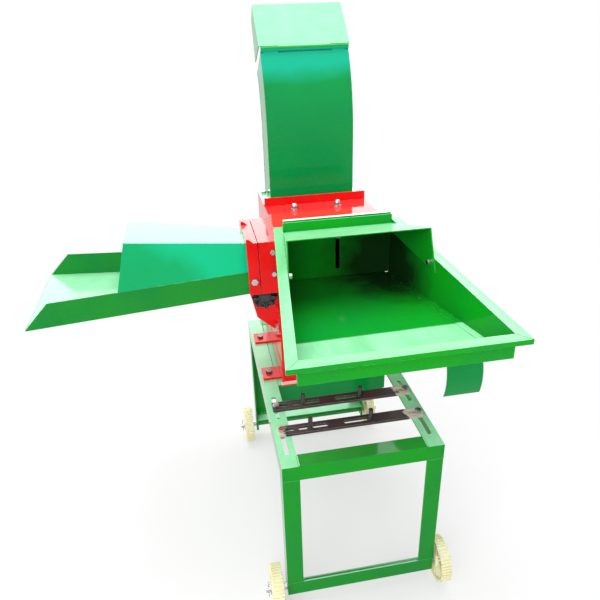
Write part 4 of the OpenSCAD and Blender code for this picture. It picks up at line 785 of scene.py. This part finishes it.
# Near black: greased steel, darkened further to stand in for the shade inside the throat.
roller_steel_and_shade = machined("greased_roller_steel", colour=(0.075, 0.072, 0.07), oil=(0.02, 0.018, 0.016),
                        marks=(1, 0.08, 0.08))
for node in ("lower_feed_roller", "upper_feed_roller"):
    dressed(node, turned_edge, roller_steel_and_shade)
spring_steel = machined("spring_steel", colour=(0.30, 0.29, 0.28), oil=(0.1, 0.09, 0.08),
                        marks=(0.2, 0.2, 1))
springs_low, springs_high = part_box("pressure_springs")
spring_length = springs_high.z - springs_low.z
wire_r = 0.0012
coil_r = (springs_high.x - springs_low.x) / 2 - wire_r
spring_reach = wire_r + coil_r
spring_curls = 9
curl_steps = 24
close_pitch = 2.1 * wire_r


def coil_height(turn):
    """How high the wire is after this many turns: wound close at both ends, and open between."""
    span = spring_length - 2 * wire_r
    opened = (span - 2 * close_pitch) / (spring_curls - 2)
    at_the_ends = min(turn, 1) + max(0, turn - spring_curls + 1)
    return springs_low.z + wire_r + at_the_ends * close_pitch + (turn - at_the_ends) * opened


def coil(y):
    """The path of one spring's wire, round an upright axis at this depth."""
    turns = [i / curl_steps for i in range(spring_curls * curl_steps + 1)]
    x = springs_low.x + wire_r + coil_r
    return [(x + coil_r * math.cos(2 * math.pi * t), y + coil_r * math.sin(2 * math.pi * t), coil_height(t))
            for t in turns]


def joint_named(name):
    """The frame's joint of this name."""
    return next(joint for joint in frame["joints"] if joint["name"] == name)


spring_lines = ribbon(coil(springs_low.y + spring_reach), coil(springs_high.y - spring_reach))
springs = shaped("pressure_spring_coils", spring_lines, round_wire, spring_steel, radius=wire_r)
fixed_on("base", "bare_steel", springs)
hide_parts("pressure_springs")
lift = joint_named("roller_lift")["range_m"][1]
spring_pressed = 1 - lift / spring_length
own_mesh(springs)

# The inlet collar and gear cover
# Folded red sheet round the mouth of the throat. The collar carries the trough, and the cover
# closes over the gears at the front, with a gusset under it.
sheet_edge = 0.0006
collar_paint = enamel("collar_red_enamel", signal_red, red_deep, red_pale, red_highlight, dust_and_highlight=0.14)
for node in ("inlet_collar", "gear_cover", "roller_cheeks", "throat_floor"):
    dressed(node, sheet_edge, collar_paint)

# The feed trough and its cover
# A long trough of thin sheet, wider at its open end, with a folded cover over the half nearest the
# collar. Both are in gloss green, the cover in a bluer one.


def cover_reflection(place, upward):
    """A painted reflection of the sky, teal, on the cover towards the collar, past a slanting line."""
    line = place.along("X") + place.along("Z") + place.noise(11, 4) * 0.12 - 0.06
    return line.within(cover_reflection_line, cover_reflection_line + 0.05) * upward.within(0.62, 0.5) * 0.85


# Where the painted reflection on the cover begins.
cover_reflection_line = 0.585
trough_green = (0.010, 0.242, 0.016)
trough_deep = (0.003, 0.186, 0.032)
trough_pale = (0.16, 0.55, 0.24)
cover_green = (0.002, 0.315, 0.112)
cover_deep = (0.002, 0.280, 0.086)
cover_pale = (0.2, 0.68, 0.4)
cover_reflected_teal = (0.003, 0.425, 0.200)
trough_paint = enamel("trough_green_enamel", trough_green, trough_deep, trough_pale, leaf_highlight, dust_and_highlight=0.56)
# The cover carries a painted reflection of the sky towards the collar.
cover_paint = enamel("cover_green_enamel", cover_green, cover_deep, cover_pale, leaf_highlight, dust_and_highlight=0.32,
                     marks=((cover_reflection, cover_reflected_teal),))
dressed("feed_trough", sheet_edge, trough_paint)
mouth_x, mouth_z = -0.4536, 0.6590
mouth_front, mouth_back = -0.0137, 0.2643
brim_x, brim_z = -0.4045, 0.7098
brim_front, brim_back = -0.0068, 0.2574
cover_x = -0.2715
cover_front, cover_back = 0.0118, 0.2388
trough_brim = [
    (cover_x, cover_front, brim_z), (brim_x, brim_front, brim_z), (mouth_x, mouth_front, mouth_z),
    (mouth_x, mouth_back, mouth_z), (brim_x, brim_back, brim_z), (cover_x, cover_back, brim_z),
]
trough_hem = shaped("trough_wired_edge", ribbon(trough_brim), round_wire, trough_paint)
fixed_on("base", "green_enamel", trough_hem)
dressed("trough_cover", sheet_edge, cover_paint)

# The feed tray, its hood and gate
# A wide flared tray of folded sheet with a turned-down rim, a hood over its inner end, and a plate
# that slides up and down in the housing's front to meter the feed.


def tray_floor_reflection(place, upward):
    """A painted reflection of the bright sky across the front of the tray's floor, from the rim to a slanting
    line.
    """
    line = place.along("Y") - place.along("X") * tray_reflection_slant + place.noise(9, 2) * 0.006
    reflection_streaks = place.noise(16, 4, (1.6, 0.35, 1)).within(0.25, 0.75)
    floor = upward.within(0.9, 0.97) * place.along("Z").within(rim_from, rim_from - 0.004)
    return line.within(tray_reflection_from + 0.004, tray_reflection_from) * floor * (0.45 + reflection_streaks * 0.3)


def shade_under_hood(place, upward):
    """Painted shade under the hood in the tray's inner right corner, on the inside faces alone."""
    corner = place.add("Mapping", {}, {"Vector": place, "Location": shade_shift, "Scale": shade_spread})
    ragged = corner.length() + place.noise(22, 5) * 0.09 - 0.045
    below_the_rim = place.along("Z").within(shade_top, shade_top - 0.018)
    inside = place.add("TexCoord", out="Normal").dot(into_the_tray).within(0.0, 0.4)
    return ragged.within(shade_reach, shade_reach * 0.4) * below_the_rim * inside * 0.95


rim_from = 0.750
# Where the painted reflection on the tray's floor ends, and how its edge slants.
tray_reflection_from = -0.275
tray_reflection_slant = 0.02
# Where the painted shade under the hood sits, how far it reaches and how high it climbs.
shade_middle = (0.310, 0.036, 0.704)
shade_spread = (1.0, 0.8, 0.7)
shade_shift = tuple(-spot * spread for spot, spread in zip(shade_middle, shade_spread))
shade_reach = 0.165
shade_top = 0.796
into_the_tray = (-1, -1, 1)
# Near black for the painted shade under the hood.
hood_shade_tone = (0.005, 0.020, 0.005)
tray_green = (0.004, 0.310, 0.008)
tray_deep = (0.003, 0.255, 0.026)
tray_pale = (0.16, 0.6, 0.26)
# A near white for the painted highlight on the gate's upward grip.
grip_highlight = (0.84, 0.98, 0.88)
# The tray carries a painted highlight on its rim, a painted reflection across the front of its floor, and painted
# shade in its inner right corner.
tray_paint = enamel("tray_green_enamel", tray_green, tray_deep, tray_pale, leaf_highlight, dust_and_highlight=0.42,
                    above=rim_from, marks=((tray_floor_reflection, leaf_highlight), (shade_under_hood, hood_shade_tone)))
hood_paint = enamel("hood_green_enamel", tray_green, tray_deep, tray_pale, leaf_highlight, dust_and_highlight=0.6)
# The gate's grip carries the full painted highlight, and the gate shares the painted shade under the hood.
gate_paint = enamel("gate_green_enamel", tray_green, tray_deep, tray_pale, grip_highlight, dust_and_highlight=1.0,
                    above=rim_from, marks=((shade_under_hood, hood_shade_tone),))
dressed("feed_tray", sheet_edge, tray_paint)
dressed("feed_gate", sheet_edge, gate_paint)
dressed("tray_hood", sheet_edge, hood_paint)
flat_edge = 0.0004


def plank(name, start, end, wide, thick):
    """A straight flat from start to end, with its width and thickness given as vectors."""
    none = Vector((0, 0, 0))
    section = ((none, none), (wide, none), (wide, thick), (none, thick))
    corners = [Vector(p) + across + up for p in (start, end) for across, up in section]
    sides = [(i, i + 4, (i + 1) % 4 + 4, (i + 1) % 4) for i in range(4)]
    rough = bpy.data.meshes.new("rough_flat")
    rough.from_pydata(corners, [], [(0, 1, 2, 3), (7, 6, 5, 4), *sides])
    flat = bmesh.new()
    flat.from_mesh(rough)
    bmesh.ops.recalc_face_normals(flat, faces=flat.faces)
    bmesh.ops.bevel(flat, geom=flat.edges[:], offset=flat_edge, segments=2, affect="EDGES")
    return as_mesh(name, flat)


def rivet_tree():
    """A low domed rivet head at every point."""
    tree = Shaper("rivet_row", radius=0.0030, rise=0.55)
    size = tree.add("ShaderNodeCombineXYZ", {}, {"X": 1.0, "Y": 1.0, "Z": tree.given["rise"]})
    dome = tree.add("GeometryNodeMeshUVSphere", {},
                    {"Segments": 20, "Rings": 12, "Radius": tree.given["radius"]})
    row = tree.add("GeometryNodeInstanceOnPoints", {},
                   {"Points": tree.given["Geometry"], "Instance": dome, "Scale": size})
    return tree.done(tree.add("GeometryNodeSetShadeSmooth", {}, {"Geometry": row}))


rivet_row = rivet_tree()
floor_rear = Vector((0.3164, 0.0423, 0.6830))
floor_front = Vector((0.3682, -0.4117, 0.7258))
lap_from, lap_to = 0.06, 0.985
lap_in = Vector((-0.015, 0, 0))
lap_up = Vector((0, 0.0001, 0.0010))
lap_rear = floor_rear.lerp(floor_front, lap_from)
lap_front = floor_rear.lerp(floor_front, lap_to)
lap_flat = plank("tray_floor_lap", lap_rear, lap_front, lap_in, lap_up)
floor_lap = shown("tray_floor_lap", lap_flat, tray_paint)
rivets_along = (0.09, 0.19, 0.55, 0.92)
rivets_in = 0.55
rivet_spots = [floor_rear.lerp(floor_front, along) + lap_in * rivets_in + lap_up for along in rivets_along]
lap_rivets = shaped("tray_lap_rivets", ribbon(rivet_spots), rivet_row, tray_paint)
rim_inner_y, rim_inner_z = -0.4117, 0.7676
rim_outer_y, rim_outer_z = -0.4305, 0.7658
rim_corners = ((0.0287, 0.0097), (0.3682, 0.3872))
mitres = [[(inner_x, rim_inner_y, rim_inner_z), (outer_x, rim_outer_y, rim_outer_z)]
          for inner_x, outer_x in rim_corners]
walls_x = (0.0806, 0.3162)
walls_rear, walls_foot, walls_top = 0.0405, 0.6840, 0.8060
rear_joints = [[(x, walls_rear, walls_foot), (x, walls_rear, walls_top)] for x in walls_x]
tray_mitres = shaped("tray_mitre_welds", ribbon(*mitres), weld_run, tray_paint, pitch=0.0011, size=0.0007)
tray_welds = shaped("tray_rear_welds", ribbon(*rear_joints), weld_run, tray_paint,
                    pitch=0.0016, size=0.0011)
fixed_on("base", "green_enamel", floor_lap, lap_rivets, tray_mitres, tray_welds)

# The spout and its flap
# A tall duct rolled back at its top, with welded seams along its corners. A folded flap on a pin
# hinge turns the cut straw down into a sack.


def spout_reflection(place, upward):
    """A painted reflection of the sky, teal, high on the duct where it leans back."""
    ragged = place.along("Z") + place.noise(7, 3) * 0.06 - 0.03
    return ragged.within(spout_reflection_from, spout_reflection_full) * 0.85


# Heights over which the painted reflection on the duct comes in.
spout_reflection_from, spout_reflection_full = 1.062, 1.098
reflected_sky_teal = (0.006, 0.37, 0.235)
spout_green = (0.002, 0.252, 0.046)
spout_deep = (0.002, 0.214, 0.050)
spout_pale = (0.16, 0.62, 0.36)
flap_green = (0.003, 0.290, 0.078)
flap_deep = (0.003, 0.250, 0.064)
# The duct carries a painted reflection of the sky near its top.
spout_paint = enamel("spout_green_enamel", spout_green, spout_deep, spout_pale, leaf_highlight, dust_and_highlight=0.62,
                     marks=((spout_reflection, reflected_sky_teal),))
# The flap's upward faces carry the strongest painted highlight. Its rolled edge takes the beam paint, which has
# almost none.
flap_paint = enamel("flap_green_enamel", flap_green, flap_deep, spout_pale, leaf_highlight, dust_and_highlight=1.7)
dressed("discharge_spout", sheet_edge, spout_paint)
dressed("spout_flap", sheet_edge, flap_paint)
spout_sides = (0.08545, 0.28945)
flap_pin = Vector(joint_named("flap_tilt")["pos_m"])
strip_steps = 16


def rolled_strip(name, inner, outer, start, end, finish):
    """A thin strip rolled round the flap's pin, from one angle to another, over the hinge's gaps."""
    turns = [math.radians(start + (end - start) * step / strip_steps) for step in range(strip_steps + 1)]
    rim = [(outer, a) for a in turns] + [(inner, a) for a in reversed(turns)]
    strip = bmesh.new()
    left, right = ([strip.verts.new((x, flap_pin.y + r * math.cos(a), flap_pin.z + r * math.sin(a)))
                    for r, a in rim] for x in spout_sides)
    strip.faces.new(left)
    strip.faces.new(right)
    for i in range(len(rim)):
        j = (i + 1) % len(rim)
        strip.faces.new((left[i], left[j], right[j], right[i]))
    bmesh.ops.recalc_face_normals(strip, faces=strip.faces)
    return shown(name, smoothed(as_mesh(name, strip), turned_crease), finish)


hinge_cover = rolled_strip("flap_hinge_cover", inner=0.0044, outer=0.0053, start=158, end=281,
                           finish=spout_paint)
fixed_on("base", "green_enamel", hinge_cover)
flap_roll = rolled_strip("flap_rolled_edge", inner=0.0055, outer=0.0063, start=80, end=165,
                         finish=beam_paint)
fixed_on("flap", "green_enamel", flap_roll)
least_crease = 0.5


def creases(node, wanted):
    """The ends of the node's own sharp edges that pass a test, as runs to work along."""
    solid = solid_of(node)
    sharp = [edge for edge in solid.edges if edge.calc_face_angle(0) > least_crease]
    ends = [[v.co.copy() for v in edge.verts] for edge in sharp]
    solid.free()
    return [pair for pair in ends if wanted(*pair)]


def both_at(a, b, x):
    """True if both ends of an edge are this far across, give or take a hair."""
    return abs(a.x - x) < hair and abs(b.x - x) < hair


def up_the_corner(a, b):
    """True for the edges that run up an outer corner of the duct, and not round its mouth or base."""
    outside = any(both_at(a, b, side) for side in spout_sides)
    mouth = (a - b).length > mouth_edge and min(a.z, b.z) > mouth_above
    return outside and not mouth and (a.z + b.z) / 2 > spout_base


hair = 3e-4
mouth_edge = 0.05
mouth_above = 1.0
spout_base = 0.8005
spout_seams = ribbon(*creases("discharge_spout", up_the_corner))
spout_welds = shaped("spout_corner_welds", spout_seams, weld_run, spout_paint, pitch=0.0017, size=0.0008)
flange_z = 0.7990
foot_front, foot_back = 0.2573, 0.3493
foot_left, foot_right = spout_sides
foot_path = [(foot_left, foot_back, flange_z), (foot_left, foot_front, flange_z),
             (foot_right, foot_front, flange_z), (foot_right, foot_back, flange_z)]
foot_weld = shaped("spout_foot_weld", ribbon(foot_path), weld_run, spout_paint, pitch=0.0020, size=0.0018)
fixed_on("base", "green_enamel", spout_welds, foot_weld)

# The belt guard, its stays and the chute
# A rolled guard stands round the belts on three steel stays, and a short chute hangs below the
# sieve.
for node in ("belt_guard", "outlet_chute"):
    dressed(node, sheet_edge, spout_paint)
dressed("guard_stays", bolt_edge, zinc_plate)
guard_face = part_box("belt_guard")[1].x
guard_open_to = 0.4905


def round_the_face(a, b):
    """True for the edges where the guard's band meets its side plate."""
    return both_at(a, b, guard_face) and max(a.z, b.z) > guard_open_to


guard_seam = ribbon(*creases("belt_guard", round_the_face))
guard_weld = shaped("guard_edge_weld", guard_seam, weld_run, spout_paint, pitch=0.0018, size=0.0009)
fixed_on("base", "green_enamel", guard_weld)

# Floor, light and camera
# A plain pale studio floor under one broad softbox, with another in front of the machine, and a card
# behind it that shows in the gloss alone. The walls give less light on the camera's side.


def shows_itself(start):
    """1 for a ray that shows the studio itself: to the camera, in gloss or through glass."""
    rays = start.tree.nodes.new("ShaderNodeLightPath").outputs
    kinds = ("Is Camera Ray", "Is Glossy Ray", "Is Transmission Ray")
    seen, mirrored, through = (Wire(start.tree, rays[kind]) for kind in kinds)
    return seen + mirrored + through


white = (1.0, 1.0, 1.0)
floor_greys = ((0.74, 0.74, 0.74), (0.78, 0.78, 0.78))
floor_half = 30.0
shadow_from, shadow_to = 0.4, 1.5
floor_finish = bpy.data.materials.new("pale_floor")
floor_finish.use_nodes = True
ground = Wire(floor_finish.node_tree).add("TexCoord", out="Object")
speckle = ground.noise(1.2, 2).within(0.3, 0.7).blend(*floor_greys)
matt = ground.add("BsdfDiffuse", {}, {"Color": speckle})
plain = ground.add("Emission", {}, {"Color": white, "Strength": 1.0})
clear_of_shadow = ground.length().within(shadow_from, shadow_to)
whitened = shows_itself(ground) * (0.5 + clear_of_shadow * 0.5)
lit = ground.add("MixShader", {}, {0: whitened, 1: matt, 2: plain})
ground.plug(floor_finish.node_tree.nodes["Material Output"].inputs["Surface"], lit)
floor_mesh = bpy.data.meshes.new("floor")
floor_mesh.from_pydata([(-floor_half, -floor_half, 0), (floor_half, -floor_half, 0),
                        (floor_half, floor_half, 0), (-floor_half, floor_half, 0)], [], [(0, 1, 2, 3)])
shown("floor", floor_mesh, floor_finish)

wall_grey = (0.42, 0.42, 0.42)
world = bpy.data.worlds.new("studio")
bpy.context.scene.world = world
world.use_nodes = True
sky = Wire(world.node_tree).add("TexCoord", out="Generated")
walls = sky.along("Y").within(-0.5, 0.5).blend(wall_grey, white)
backdrop = shows_itself(sky).within(0, 1).blend(walls, white)
sky.plug(world.node_tree.nodes["Background"].inputs["Color"], backdrop)


def softbox(name, at, aim, wide, high, glow, lights=True):
    """An area lamp of this size and brightness, or a card that only shows in gloss."""
    lamp = bpy.data.lights.new(name, "AREA")
    lamp.shape = "RECTANGLE"
    lamp.size = wide
    lamp.size_y = high
    lamp.energy = glow * math.pi * wide * high
    box = bpy.data.objects.new(name, lamp)
    turn = (Vector(aim) - Vector(at)).to_track_quat("-Z", "Y").to_matrix().to_4x4()
    box.matrix_world = Matrix.Translation(at) @ turn
    box.visible_camera = False
    box.visible_diffuse = lights
    bpy.context.scene.collection.objects.link(box)


softbox("overhead_softbox", at=(0.0, 0.2, 3.0), aim=(0.0, 0.1, 0.6), wide=2.4, high=2.4, glow=3.6)
softbox("front_softbox", at=(-1.4, -2.9, 2.3), aim=(0.0, 0.0, 0.7), wide=3.0, high=3.0, glow=4.0)
softbox("back_card", at=(0.3, 3.0, 2.6), aim=(0.0, 0.0, 0.7), wide=6.0, high=2.6, glow=4.8, lights=False)

camera_at = Vector((-0.08869, -1.12799, 1.2314))
yaw, pitch, roll = (math.radians(a) for a in (9.78, 26.74, -1.74))
sensor_mm = 36
focal_px = 592.73
photo_px = 600
ahead = Vector((math.sin(yaw) * math.cos(pitch), math.cos(yaw) * math.cos(pitch), -math.sin(pitch)))
level = Vector((math.cos(yaw), -math.sin(yaw), 0))
unrolled = level.cross(ahead)
right = level * math.cos(roll) + unrolled * math.sin(roll)
upright = unrolled * math.cos(roll) - level * math.sin(roll)
lens = bpy.data.cameras.new("camera")
lens.sensor_width = sensor_mm
lens.lens = sensor_mm * focal_px / photo_px
lens.clip_end = 100
camera = bpy.data.objects.new("camera", lens)
axes = Matrix((right, upright, -ahead)).transposed()
camera.matrix_world = Matrix.Translation(camera_at) @ axes.to_4x4()
bpy.context.scene.collection.objects.link(camera)
bpy.context.scene.camera = camera
bpy.context.scene.view_settings.view_transform = "Standard"
